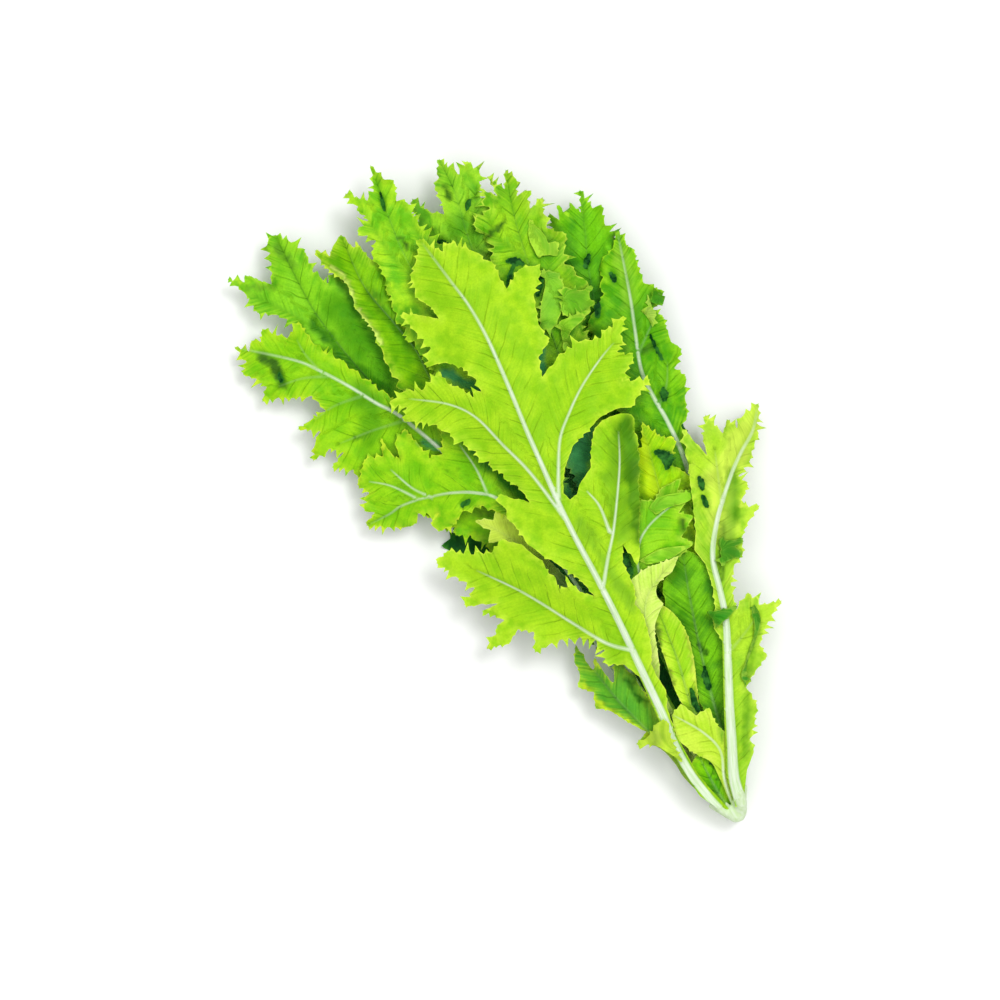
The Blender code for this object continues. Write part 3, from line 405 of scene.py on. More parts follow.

# Places of another colour on single leaves: colour, strength, half-width and route; those in the dark tones
# are painted shade, the pale and yellow ones the leaves' own colour
PLACES = {
    "leaf_right_top": ((DARK_SHADE, 0.7, 3.2, ((46.5, 228), (48, 218))),),
    "leaf_right_back": (
        (OLIVE_SHADE, 0.8, 2.0, ((58.5, 180), (63, 180))),
        (SOFT_SHADE, 0.5, 3.5, ((66, 206), (61, 189))),
        ((164, 226, 56), 0.7, 4.5, ((63, 200), (67, 208), (70, 220)))),
    "leaf_far_left": (
        (OLIVE_SHADE, 0.55, 2.6, ((-49, 290), (-48, 284), (-46, 279))),
        (OLIVE_SHADE, 0.45, 2.4, ((-66.5, 280), (-57, 275.5))),
        (SOFT_SHADE, 0.5, 9.0, ((-40, 256), (-40, 243), (-37, 226))),
        (DEEP_SHADE, 0.75, 3.6, ((-50.5, 256), (-48.5, 244), (-46, 233.5), (-41, 223.5), (-37, 215))),
        (DEEP_SHADE, 0.7, 3.2, ((-33, 265.5), (-33, 253.5), (-34, 245.5), (-33.5, 233), (-35, 222)))),
    "leaf_top_right": (
        (OLIVE_SHADE, 0.9, 1.9, ((21.5, 276), (21, 272))),
        (OLIVE_SHADE, 0.7, 1.2, ((6.5, 265.5), (9, 263.5))),
        (SOFT_SHADE, 0.5, 6.0, ((12, 258), (20, 262)))),
    "leaf_fold": (
        (PALE, 0.95, 1.3, ((-33.5, 271), (-31.5, 265.5), (-32, 255.5), (-33, 248.5), (-31.5, 239.5),
            (-31.5, 234.5))),
        (DEEP_SHADE, 0.5, 3.4, ((-25.5, 254.5), (-23, 239), (-20.5, 225))),
        (YELLOW, 0.9, 0.7, ((-25, 256), (-22.5, 243), (-19.5, 232.5), (-19, 222), (-20, 209.5)))),
    "leaf_left": (
        (OLIVE_SHADE, 0.9, 3.4, ((-74.5, 253.5), (-73, 247.5), (-73.5, 241))),
        (OLIVE_SHADE, 0.7, 1.6, ((-59, 206.5), (-53.5, 205.5))),
        (SOFT_SHADE, 0.6, 7.0, ((-56, 203), (-50, 211), (-47, 222)))),
    "leaf_top": ((OLIVE_SHADE, 0.8, 1.6, ((-4, 268), (-3.5, 263))),),
    "leaf_curly": (
        (OLIVE_SHADE, 0.9, 1.9, ((27, 250.5), (35, 252))),
        (DARK_SHADE, 0.75, 2.4, ((33.5, 148), (30, 138.5), (26.5, 130), (21.5, 122)))),
    "leaf_star": (
        ((224, 255, 78), 1.0, 14.0, ((-20, 130), (-28, 147), (-35, 155.5))),
        # painted shade in the slit by the star's stalk
        ((40, 112, 62), 1.0, 8.0, ((-17.5, 125), (-13, 112), (-8, 98)))),
    "leaf_left_low": ((DARK_SHADE, 0.5, 0.6, ((-37, 181), (-32.5, 176.5), (-26, 174.5))),),
    "leaf_basal_left": (
        (DEEP_SHADE, 0.9, 2.8, ((-11, 79), (-8.5, 73), (-8.5, 67.5))),
        (DEEP_SHADE, 0.85, 1.8, ((-11.5, 68), (-11.5, 61), (-9, 57))),
        (YELLOW, 0.9, 2.4, ((-28.5, 75), (-25.5, 63), (-19.5, 52), (-14.5, 43), (-12, 32)))),
    "leaf_heart_yellow": (((212, 255, 20), 0.95, 5.0, ((37, 153), (38, 142), (35, 130))),),
    "leaf_heart_dark": ((DARK_SHADE, 0.8, 2.0, ((20, 67.5), (21, 62.5))),),
    "leaf_heart_lobe": ((OLIVE_SHADE, 0.85, 2.2, ((38.5, 113), (37, 110.5))),),
    "leaf_heart_bright": (
        ((224, 250, 84), 0.95, 2.2, ((12, 90), (18, 86), (20.5, 80), (18, 69), (13.5, 57.5), (8, 46))),
        (OLIVE_SHADE, 0.95, 2.6, ((8, 82), (4.5, 74), (3, 65.5), (2.5, 59.5)))),
    "leaf_heart_tuft": ((OLIVE_SHADE, 0.7, 0.6, ((0, 21), (-0.5, 16.5))),),
    "leaf_heart_low": ((SOFT_SHADE, 0.7, 2.6, ((13, 36.5), (9.5, 30.5))),),
    "leaf_right": (
        ((220, 255, 84), 0.85, 8.0, ((50, 104), (60, 121), (72, 129), (84, 134))),
        (SOFT_SHADE, 0.5, 2.6, ((14, 19), (22, 32), (30, 44), (38, 56))),
        (SOFT_SHADE, 0.85, 4.2, ((65, 119), (60, 111), (54, 102), (48, 93))),
        (DARK_SHADE, 0.7, 1.8, ((51.5, 104.5), (46.5, 96.5), (41, 86)))),
    "leaf_front": (
        # painted shade: on the right of the lower right lobe, at its top, and on the right of the midrib
        ((126, 194, 24), 0.7, 6.0, ((14, 120), (18, 127), (24, 141), (30, 152))),
        ((78, 146, 14), 0.95, 6.5, ((36.5, 157.5), (34.5, 148), (28, 132), (21, 116))),
        ((126, 190, 34), 0.6, 4.0, ((3, 132), (3, 118), (4, 104), (4, 92)))),
}

# Holes painted in dark as shade, over a shallow dent: half-width and route
PAINTED_HOLES = {
    "leaf_right_top": ((1.7, ((58.5, 224.5), (55, 221))),),
    "leaf_right_back": (
        (1.9, ((62.5, 213.5), (62.5, 210.5))),
        (1.8, ((52.5, 207.5), (49.5, 201.5))),
        (0.8, ((64, 184.5), (63.5, 179.5), (63.5, 174))),
        (2.2, ((58, 163), (56.5, 159.5)))),
    "leaf_top_right": (
        (1.5, ((27.5, 267), (25, 264.5))),
        (1.8, ((8.5, 258.5), (11, 256.5)))),
    "leaf_left": ((1.3, ((-73, 244), (-73.5, 241))),),
    "leaf_top": ((1.0, ((-2, 287), (-4, 280))),),
    "leaf_curly": (
        (2.4, ((29, 238), (33, 235))),
        (1.2, ((28.5, 234.5), (24, 229.5))),
        (1.6, ((39, 227.5), (32.5, 220.5)))),
    "leaf_left_low": ((1.6, ((-35, 162), (-32, 162.5))),),
    "leaf_heart_yellow": (
        (2.6, ((43, 142.5), (45.5, 139.5), (48.5, 134))),
        (1.4, ((44.5, 138), (43.5, 135))),
        (1.5, ((24.5, 98), (23, 92), (21.5, 85.5)))),
    "leaf_heart_dark": ((1.7, ((17.5, 58), (16, 54.5), (15, 50))),),
    "leaf_heart_lobe": ((2.2, ((12.5, 114.5), (11, 110), (9.5, 105))),),
    "leaf_heart_bright": ((1.6, ((8.5, 53), (7, 47.5), (7, 42.5))),),
    "leaf_heart_tuft": ((1.4, ((1, 23.5), (2.5, 21.5))),),
    "leaf_right": (
        (1.7, ((53, 125), (52, 121))),
        (1.6, ((50.5, 118), (50, 114)))),
}

# Small curled lobes: colour, height and outline, which starts and ends at the lobe's root; the dark green
# tones are painted shade on the curls
LOBES = {
    "leaf_right_back": (
        (PALE, 2.0, ((66, 194.5), (69, 195), (71, 199.5), (71, 197), (70, 193.5), (70.5, 191.5),
            (66.5, 187), (66.5, 190.5))),
        ((58, 150, 26), 1.6, ((74.5, 200), (75.5, 197), (76.5, 195), (74, 192.5), (71, 196)))),
    "leaf_curly": (
        ((122, 204, 56), 3.0, ((39, 227.5), (43, 224.5), (43.5, 219), (38, 210.5), (36, 208.5),
            (32.5, 206.5), (27, 207.5), (29, 212.5), (33.5, 218.5), (37.5, 222.5))),
        ((120, 206, 44), 2.4, ((43, 218), (48, 213.5), (52.5, 213), (50, 209.5), (50.5, 207), (46, 205.5),
            (39, 207.5), (38, 210.5))),
        ((174, 234, 62), 3.0, ((44.5, 247.5), (46, 244), (47, 239.5), (46.5, 236.5), (49.5, 234.5),
            (47, 231), (43, 232.5), (40.5, 234), (40, 239.5), (41.5, 244.5))),
        ((140, 216, 48), 2.0, ((35, 206.5), (41.5, 206.5), (47, 205), (43.5, 202.5), (39, 202),
            (35.5, 200.5), (31.5, 196), (32.5, 201.5)))),
    "leaf_heart_yellow": (
        ((192, 234, 76), 2.6, ((28, 70.5), (30.5, 71.5), (32, 77.5), (32, 81.5), (31.5, 85.5),
            (27.5, 79.5), (26, 74), (24.5, 69.5), (25, 66.5))),),
    "leaf_heart_lobe": (
        ((136, 218, 44), 2.6, ((16, 108), (21, 108.5), (26.5, 108), (32, 105.5), (37.5, 103), (32.5, 103),
            (27.5, 102.5), (22.5, 103.5), (17.5, 105.5))),
        ((128, 212, 44), 2.6, ((29.5, 124.5), (34, 126.5), (39, 125.5), (44, 123.5), (49, 120.5),
            (45, 119), (41, 119.5), (36.5, 121), (30.5, 121)))),
    "leaf_right": (
        ((28, 146, 22), 2.2, ((29.5, 76.5), (33.5, 75.5), (40.5, 73), (37, 71), (29.5, 70), (29.5, 72.5))),
        ((30, 138, 24), 2.0, ((47, 70), (47.5, 66.5), (46, 62.5), (43.5, 60), (39, 56), (35, 53),
            (32, 50), (27.5, 42), (29, 48.5), (33, 52.5), (37, 56), (41, 59.5), (43.5, 63.5),
            (44.5, 67.5))),
        ((56, 152, 26), 2.0, ((48, 99.5), (51, 97.5), (56, 95.5), (52, 94), (51.5, 89.5), (47.5, 90.5),
            (43.5, 90.5)))),
    "leaf_front": (
        ((216, 248, 80), 1.0, ((-8.5, 39.5), (-6.5, 47), (-10, 48), (-15.5, 45), (-20.5, 44.5),
            (-14.5, 40.5), (-11.5, 34.5), (-9, 30))),),
}


def linear(tone):
    """A displayed colour as the renderer counts it under these lights, with full alpha."""
    shares = [channel / 255 for channel in tone]
    counted = [s / 12.92 if s < 0.04045 else ((s + 0.055) / 1.055) ** 2.4 for s in shares]
    return (*[value * TONE_SHARE for value in counted], 1.0)


def smooth_route(points, step):
    """Evenly spaced points along a smooth curve through the given ones."""
    points = np.array(points, dtype=float)
    knots = np.array([2 * points[0] - points[1], *points, 2 * points[-1] - points[-2]])
    dense = [knots[1]]
    for a, b, c, d in zip(knots, knots[1:], knots[2:], knots[3:]):
        for t in np.arange(1, ROUTE_PARTS + 1) / ROUTE_PARTS:
            dense.append((2 * b + (c - a) * t + (2 * a - 5 * b + 4 * c - d) * t**2
                          + (3 * b - a - 3 * c + d) * t**3) / 2)
    dense = np.array(dense)
    run = np.concatenate([[0.0], np.cumsum(np.hypot(*np.diff(dense, axis=0).T))])
    even = np.linspace(0.0, run[-1], max(3, round(run[-1] / step) + 1))
    return np.stack([np.interp(even, run, column) for column in dense.T], axis=1)


def headings(route):
    """Unit directions along a route."""
    steps = np.gradient(route, axis=0)
    return steps / np.hypot(*steps.T)[:, None]


def nearest_on(route, points):
    """For each point: its distance from the route, and the nearest station."""
    distances = np.hypot(*(points[:, None] - route[None]).transpose(2, 0, 1))
    station = distances.argmin(axis=1)
    return distances[np.arange(len(points)), station], station


class Rib(NamedTuple):
    """One rib in the frame, with its half-width and whiteness at each station."""

    route: np.ndarray
    half_widths: np.ndarray
    white: np.ndarray


def rib_routes(leaf):
    """The leaf's midrib and side ribs."""
    ribs = []
    start_widths = [leaf.stalk] + [leaf.stalk * SIDE_RIB_SHARE] * len(leaf.ribs)
    whites = [leaf.white[0]] + [leaf.white[1]] * len(leaf.ribs)
    for points, width, white in zip((leaf.midrib, *leaf.ribs), start_widths, whites):
        route = smooth_route(points, ROUTE_STEP)
        share = np.linspace(0.0, 1.0, len(route))
        at_base = np.clip((PALE_BASE[1] - route[:, 1]) / (PALE_BASE[1] - PALE_BASE[0]), 0.0, 1.0)
        whiteness = np.maximum(white * (1.0 - share**WHITE_POWER), at_base * (leaf.white[0] >= WHITE_STALK))
        half_widths = width * (1.0 - RIB_TAPER * share**RIB_TAPER_POWER)
        if points is leaf.midrib:
            half_widths *= leaf.neck + (1.0 - leaf.neck) * np.clip(share / NECK_END, 0.0, 1.0)
        ribs.append(Rib(route - REST_SPOT, half_widths, whiteness))
    return ribs


def point_tree(points, room=0):
    """A search tree over points in plan, with room for more."""
    tree = KDTree(len(points) + room)
    for k, point in enumerate(points):
        tree.insert((point[0], point[1], 0.0), k)
    tree.balance()
    return tree


def solid_plan(name):
    """The leaf's solid seen from above: its points, upper triangles, and middle height at each point."""
    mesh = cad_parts[name].data
    mesh.calc_loop_triangles()
    places = np.array([v.co for v in mesh.vertices]) / MM
    tree = point_tree(places)
    first = [min(hit[1] for hit in tree.find_range((x, y, 0.0), SAME_PLACE)) for x, y, _ in places]
    kept, number = np.unique(first, return_inverse=True)
    top = np.full(len(kept), -np.inf)
    bottom = np.full(len(kept), np.inf)
    np.maximum.at(top, number, places[:, 2])
    np.minimum.at(bottom, number, places[:, 2])
    ribs = (top - bottom - SOLID_BLADE) / (SOLID_RIB_HEIGHT + SOLID_RIB_DEPTH)
    middle = top - SOLID_BLADE / 2 - ribs * SOLID_RIB_HEIGHT
    plan = places[kept, :2]
    triangles = number[np.array([t.vertices[:] for t in mesh.loop_triangles])]
    a, b, c = plan[triangles].transpose(1, 0, 2)
    area = (b[:, 0] - a[:, 0]) * (c[:, 1] - a[:, 1]) - (b[:, 1] - a[:, 1]) * (c[:, 0] - a[:, 0])
    return plan, triangles[area > SAME_PLACE**2], middle


def outline_of(triangles):
    """The numbers of the points round a flat mesh, anticlockwise."""
    sides = set()
    for a, b, c in triangles.tolist():
        sides |= {(a, b), (b, c), (c, a)}
    follow = {a: b for a, b in sides if (b, a) not in sides}
    loop = [min(follow)]
    while follow[loop[-1]] != loop[0]:
        loop.append(follow[loop[-1]])
    return loop


def room_ahead(place, way, corners):
    """How far it is from a place, in one direction, to the next side of the outline."""
    offset = corners - place
    runs = np.roll(corners, -1, axis=0) - corners
    across = way[0] * runs[:, 1] - way[1] * runs[:, 0]
    across[across == 0.0] = SAME_PLACE**2
    ahead = (offset[:, 0] * runs[:, 1] - offset[:, 1] * runs[:, 0]) / across
    share = (offset[:, 0] * way[1] - offset[:, 1] * way[0]) / across
    hits = ahead[(share >= 0.0) & (share <= 1.0) & (ahead > SAME_PLACE)]
    return min(hits, default=FAR)


def edge_profile(length, forward, rng):
    """(share of the way, share of a tooth's height) along one side of the outline."""
    count = round(length / TOOTH_PITCH)
    if count == 0:
        return [(0.5, 0.0)]
    widths = np.array([rng.uniform(*TOOTH_WIDTHS) for _ in range(count)])
    widths *= (1.0 - 2 * SIDE_ROOM) / widths.sum()
    profile = []
    foot = SIDE_ROOM
    for width in widths:
        size = SMALL_TOOTH + (1.0 - SMALL_TOOTH) * rng.random() ** TOOTH_SKEW
        lean = TOOTH_LEAN * rng.uniform(*LEAN_CHANGE)
        profile.append((foot, 0.0))
        profile += [(foot + width * lean * share, size * height) for share, height in TOOTH_SHAPE]
        profile.append((foot + width * (lean + (1.0 - lean) * TOOTH_BACK[0]), size * TOOTH_BACK[1]))
        foot += width
    profile.append((foot, 0.0))
    return profile if forward else [(1.0 - share, height) for share, height in reversed(profile)]


def turns(corners):
    """Directions into each corner of an outline and out of it, and the sine of the turn between them."""
    before = corners - np.roll(corners, 1, axis=0)
    before = before / np.hypot(*before.T)[:, None]
    after = np.roll(before, -1, axis=0)
    return before, after, before[:, 0] * after[:, 1] - before[:, 1] * after[:, 0]


def rounded(corners, teeth):
    """The outline with its blunt corners cut off, and the size of the teeth at each corner."""
    turn = turns(corners)[2]
    sharp = (turn > SHARP_TURN) | (turn < SHARP_VALLEY)
    for _ in range(ROUNDINGS):
        fresh, kept, sizes = [], [], []
        for k, corner in enumerate(corners):
            if sharp[k]:
                fresh.append(corner)
            else:
                for other in (corners[k - 1], corners[(k + 1) % len(corners)]):
                    fresh.append(CORNER_SHARE * corner + (1.0 - CORNER_SHARE) * other)
            added = len(fresh) - len(kept)
            kept += [sharp[k]] * added
            sizes += [teeth[k]] * added
        corners, sharp, teeth = np.array(fresh), np.array(kept), np.array(sizes)
    return corners, teeth


def horned(corners, teeth, rng):
    """The corners of an outline, with the sharp ones drawn out into horns."""
    before, after, turn = turns(corners)
    tips = corners.copy()
    for k in np.nonzero((turn > SHARP_TURN) & (teeth > 0.0))[0]:
        bisector = before[k] - after[k]
        room = room_ahead(corners[k], bisector / np.hypot(*bisector), corners)
        reach = teeth[k] * HORN_REACH * rng.uniform(*HORN_SIZES)
        tips[k] += bisector * 0.5 * min(reach, HORN_ROOM * room)
    return tips


def frilled(corners, teeth, rng):
    """The outline with horned tips, hollow sides and slanted teeth of the size given at each corner."""
    turn = turns(corners)[2]
    sharp = turn > SHARP_TURN
    tips = horned(corners, teeth, rng)
    outline = []
    for k, start in enumerate(tips):
        following = (k + 1) % len(tips)
        run = tips[following] - start
        length = math.hypot(*run)
        outline.append(start)
        size = (teeth[k] + teeth[following]) / 2
        if size == 0.0:
            continue
        normal = np.array((run[1], -run[0])) / length
        room = room_ahead(start + run / 2, normal, corners)
        height = min(size * TOOTH_HEIGHT, TOOTH_ROOM * room)
        hollow = size * min(HOLLOW * length, MOST_HOLLOW, HOLLOW_ROOM * room)
        for share, lift in edge_profile(length, turn[following] > turn[k], rng):
            to_start = share * length if sharp[k] else FAR
            to_end = (1.0 - share) * length if sharp[following] else FAR
            lift *= height * min(1.0, min(to_start, to_end) / TIP_REACH)
            outline.append(start + run * share + normal * (lift - hollow * math.sin(math.pi * share)))
    return np.array(outline)


def inside(points, outline):
    """Which points lie inside a closed outline."""
    hits = np.zeros(len(points), dtype=bool)
    ends = np.roll(outline, -1, axis=0)
    for (ax, ay), (bx, by) in zip(outline, ends):
        if ay == by:
            continue
        crosses = (ay > points[:, 1]) != (by > points[:, 1])
        hits ^= crosses & (points[:, 0] < ax + (bx - ax) * (points[:, 1] - ay) / (by - ay))
    return hits


def rib_points(ribs, outline):
    """Lines of points along and across every rib."""
    rows = []
    for rib in ribs:
        normals = headings(rib.route)[:, ::-1] * (-1, 1)
        for share in RIB_ROWS:
            if share == 0.0 or rib.half_widths.max() > NARROW_RIB:
                rows.append(rib.route + normals * (rib.half_widths * share)[:, None])
        for side in (-1, 1):
            rows.append(rib.route + normals * ((rib.half_widths + RIB_RIM) * side)[:, None])
    rows = np.concatenate(rows)
    return rows[inside(rows, outline)]


def grid_points(outline, rng):
    """A staggered, slightly shaken grid of points inside the outline."""
    low, high = outline.min(axis=0), outline.max(axis=0)
    rows = []
    for row, y in enumerate(np.arange(low[1], high[1], GRID_STEP * ROW_SHARE)):
        for x in np.arange(low[0] + GRID_STEP * 0.5 * (row % 2), high[0], GRID_STEP):
            rows.append((x + rng.uniform(-SHAKE, SHAKE), y + rng.uniform(-SHAKE, SHAKE)))
    rows = np.array(rows)
    return rows[inside(rows, outline)]


def thinned(groups, clearances):
    """The points of each group in turn that lie clear of all those kept before."""
    kept = list(groups[0])
    tree = point_tree(kept, sum(len(group) for group in groups[1:]))
    for group, room in zip(groups[1:], clearances):
        fresh = [point for point in group if tree.find((point[0], point[1], 0.0))[2] > room]
        for x, y in fresh:
            tree.insert((x, y, 0.0), len(kept))
            kept.append((x, y))
        tree.balance()
    return kept


def filled(outline, groups, clearances):
    """Points and triangles that fill an outline."""
    points = [Vector(point) for point in thinned([outline, *groups], clearances)]
    count = len(outline)
    edges = [(k, (k + 1) % count) for k in range(count)]
    found = geometry.delaunay_2d_cdt(points, edges, [], KEEP_INSIDE, MERGED)
    return np.array([tuple(v) for v in found[0]]), np.array(found[2])


def tooth_sizes(leaf, midrib, corners):
    """The size of the teeth at each corner of a leaf's outline, with none near its stalk."""
    away, station = nearest_on(midrib.route, corners)
    bare = (away < midrib.half_widths[station] + BARE_MARGIN) | (corners[:, 1] < BARE_BASE - REST_SPOT[1])
    crown = (station / len(midrib.route) - CROWN[0]) / (CROWN[1] - CROWN[0])
    sizes = leaf.teeth * np.clip(np.maximum(away / FULL_TEETH, crown), LEAST_TEETH, 1.0)
    sizes[bare & (crown < 1.0)] = 0.0
    for box in leaf.calm:
        low, high = np.array(box) - REST_SPOT
        sizes[np.all((corners > low) & (corners < high), axis=1)] *= CALM_TEETH
    return sizes


def sunk_stalk(corners, start):
    """A leaf's outline with the end of its stalk drawn on into the stump."""
    sunk = corners[:, 1] < STALK_END - REST_SPOT[1]
    inward = (1.0 - SUNK_CLOSER) * (start[0] + REST_SPOT[0] - STUMP_AXIS[0])
    drawn = start + (corners - start) * (SUNK_WIDTH, 1.0) - (inward, STALK_SINK)
    return np.where(sunk[:, None], drawn, corners)


def solid_heights(points, plan, triangles, middle):
    """The height of the middle of a leaf's solid at each point."""
    tree = BVHTree.FromPolygons([(x, y, 0.0) for x, y in plan], triangles.tolist())
    heights = []
    for x, y in points:
        place, _, number, _ = tree.find_nearest((x, y, 0.0))
        ends = [Vector((*plan[k], 0.0)) for k in triangles[number]]
        weights = geometry.barycentric_transform(place, *ends, *UNIT_TRIANGLE)
        heights.append(np.dot(weights, middle[triangles[number]]))
    return np.array(heights)


def leaf_blade(name, leaf, ribs, rng):
    """A leaf's fine blade: its points, triangles, outline, and the middle heights of its solid."""
    plan, triangles, middle = solid_plan(name)
    corners = plan[outline_of(triangles)]
    sizes = tooth_sizes(leaf, ribs[0], corners)
    corners = sunk_stalk(corners, ribs[0].route[0])
    if leaf.teeth < SMOOTH_TEETH:
        corners, sizes = rounded(corners, sizes)
    outline = frilled(corners, sizes, rng)
    holes = hole_points(name)
    groups = [rib_points(ribs, outline), holes[inside(holes, outline)], grid_points(outline, rng)]
    points, fine = filled(outline, groups, (RIB_CLEARANCE, HOLE_CLEARANCE, GRID_CLEARANCE))
    return points, fine, solid_heights(points, plan, triangles, middle), outline


def mesh_links(triangles):
    """Each pair of joined points, both ways round."""
    sides = np.concatenate([triangles[:, :2], triangles[:, 1:], triangles[:, ::2]])
    edges = np.unique(np.sort(sides, axis=1), axis=0)
    return np.concatenate([edges, edges[:, ::-1]])


def averaged(values, ends):
    """Each point's neighbours' mean."""
    links = np.bincount(ends[:, 0], minlength=len(values))
    return np.bincount(ends[:, 0], weights=values[ends[:, 1]], minlength=len(values)) / np.maximum(links, 1)


def evened(heights, triangles):
    """Heights with their small steps smoothed away."""
    ends = mesh_links(triangles)
    for _ in range(SMOOTH_STEPS):
        heights = averaged(heights, ends)
    return heights


def rib_relief(points, ribs):
    """Height of the ribs in half-widths, how white a rib each point is on, how far it is from the nearest
    one, and its place by that."""
    relief, mask = np.zeros(len(points)), np.zeros(len(points))
    near = np.full(len(points), np.inf)
    second = near.copy()
    flow = np.zeros((len(points), 3))
    for k, rib in enumerate(ribs):
        distance, station = nearest_on(rib.route, points)
        half = rib.half_widths[station]
        relief = np.maximum(relief, half * np.sqrt(np.clip(1.0 - (distance / half) ** 2, 0.0, 1.0)))
        seen = np.clip((half + WHITE_SPILL - distance) / WHITE_BLEND, 0.0, 1.0)
        mask = np.maximum(mask, rib.white[station] * seen)
        ahead = np.einsum("ij,ij->i", points - rib.route[station], headings(rib.route)[station])
        along = station * ROUTE_STEP + ahead + RIB_SHIFT * k
        gap = distance - half
        closer = gap < near
        flow[closer, :2] = np.stack([along, distance], axis=1)[closer]
        second = np.minimum(second, np.maximum(near, gap))
        near = np.minimum(near, gap)
    flow[:, 2] = np.clip((second - near) / SEAM_WIDTH, 0.0, 1.0)
    return relief, mask, np.clip(near, 0.0, None), flow


def margin_distance(points, outline):
    """How far inside the outline each point lies."""
    tree = point_tree(outline)
    return np.array([tree.find((x, y, 0.0))[2] for x, y in points])


def noise_at(points, length, layer):
    """Smooth noise over the plan, about -0.5 to 0.5."""
    return np.array([noise.noise(Vector((x / length, y / length, layer))) for x, y in points])


def painted(name, points, layer):
    """Colour and cover of the places on a leaf that differ from the rest, many of them painted shade."""
    tint = np.zeros((len(points), 4))
    own = PLACES.get(name, ())
    for tone, strength, half_width, route in own if name in UPPER else GAP_SHADES_AND_STALK + own:
        distance, _ = nearest_on(smooth_route(route, PLACE_STEP) - REST_SPOT, points)
        distance = distance + WANDER * half_width * noise_at(points, half_width, layer)
        cover = strength * np.clip(PLACE_CORE * (1.0 - distance / half_width), 0.0, 1.0)
        fresh = np.clip(cover / np.maximum(cover + tint[:, 3], LEAST_COVER), 0.0, 1.0)[:, None]
        tint[:, :3] = tint[:, :3] * (1.0 - fresh) + np.array(linear(tone)[:3]) * fresh
        tint[:, 3] = np.maximum(tint[:, 3], cover)
    return tint


def holed(name, points):
    """How far inside a dark painted hole each point is: 1 in the middle, 0 at the edge, and less outside
    it.
    """
    painted_hole = np.full(len(points), -1.0)
    for half_width, route in PAINTED_HOLES.get(name, ()):
        stations = smooth_route(route, PLACE_STEP) - REST_SPOT
        distance, station = nearest_on(stations, points)
        taper = HOLE_END + (1.0 - HOLE_END) * np.sin(math.pi * np.linspace(*HOLE_TAPER, len(stations)))
        painted_hole = np.maximum(painted_hole, 1.0 - distance / (half_width * taper[station]))
    return painted_hole


def hole_points(name):
    """Points along the middle of every dark painted hole on a leaf."""
    routes = [smooth_route(route, PLACE_STEP) for _, route in PAINTED_HOLES.get(name, ())]
    return np.concatenate([np.zeros((0, 2)), *routes]) - REST_SPOT


def frill(points, margin, free, crimp, layer):
    """Height of the waves and curls along a blade's edge and of its quilting, and the crests among them,
    which the skin paints lighter and the hollows darker as painted light and shade.
    """
    waves = FRILL_HEIGHT * np.exp(-margin / FRILL_REACH) * noise_at(points, FRILL_LENGTH, layer)
    curls = CURL_HEIGHT * np.exp(-margin / CURL_REACH) * noise_at(points, CURL_LENGTH, layer + CURL_LAYER)
    quilt = QUILT_HEIGHT * noise_at(points, QUILT_LENGTH, layer + QUILT_LAYER)
    return crimp * free * (waves + curls + quilt), free * (waves / 2 + curls + quilt)


def to_cells(points):
    """The pile's cells that hold the points."""
    cells = np.clip(np.round((points - PILE_LOW) / CELL).astype(int), 0, PILE_CELLS - 1)
    return tuple(cells.T)


def samples(points, triangles):
    """Corners, corner weights and cells of samples spread over the triangles."""
    corners = np.tile(triangles, (len(SAMPLE_SHARES), 1))
    weights = np.repeat(np.array(SAMPLE_SHARES), len(triangles), axis=0)
    return corners, weights, to_cells(np.einsum("ijk,ij->ik", points[corners], weights))


def widened(heights):
    """Each cell's highest neighbour."""
    rows = np.maximum(heights, np.maximum(np.roll(heights, 1, 0), np.roll(heights, -1, 0)))
    return np.maximum(rows, np.maximum(np.roll(rows, 1, 1), np.roll(rows, -1, 1)))


def settle(points, triangles, bottom, pile):
    """A smooth lift that brings a leaf's underside clear of the pile below."""
    corners, weights, cells = samples(points, triangles)
    floor = widened(pile)[cells]
    ends = mesh_links(triangles)
    needed = np.maximum(0.0, -bottom)
    lift = needed
    for _ in range(SETTLE_ROUNDS):
        short = floor - np.einsum("ij,ij->i", (bottom + lift)[corners], weights)
        if short.max() < SETTLED:
            break
        raised = lift.copy()
        for k in range(3):
            touched = (short > 0) & (weights[:, k] > TOUCHED)
            np.maximum.at(raised, corners[touched, k], (lift[corners[:, k]] + short)[touched])
        needed = np.maximum(needed, raised * (raised > lift))
        lift = needed
        for _ in range(SPREAD_STEPS):
            lift = np.maximum(needed, averaged(lift, ends) * SPREAD)
    return lift


def lay_down(points, triangles, top, pile):
    """Add a piece's upper side to the pile."""
    corners, weights, cells = samples(points, triangles)
    np.maximum.at(pile, cells, np.einsum("ij,ij->i", top[corners], weights) + GAP)


class Shell(NamedTuple):
    """The two sides of a closed blade over one plan, and what its material needs to know at each point."""

    points: np.ndarray
    triangles: np.ndarray
    top: np.ndarray
    bottom: np.ndarray
    rib: np.ndarray
    margin: np.ndarray
    near_rib: np.ndarray
    crest: np.ndarray
    painted_hole: np.ndarray
    flow: np.ndarray
    tint: np.ndarray


# What a leaf's material reads at each point, and also how sheltered the point is, which it paints in as
# shade
LOOKS = ("rib", "margin", "near_rib", "crest", "painted_hole", "flow", "tint")


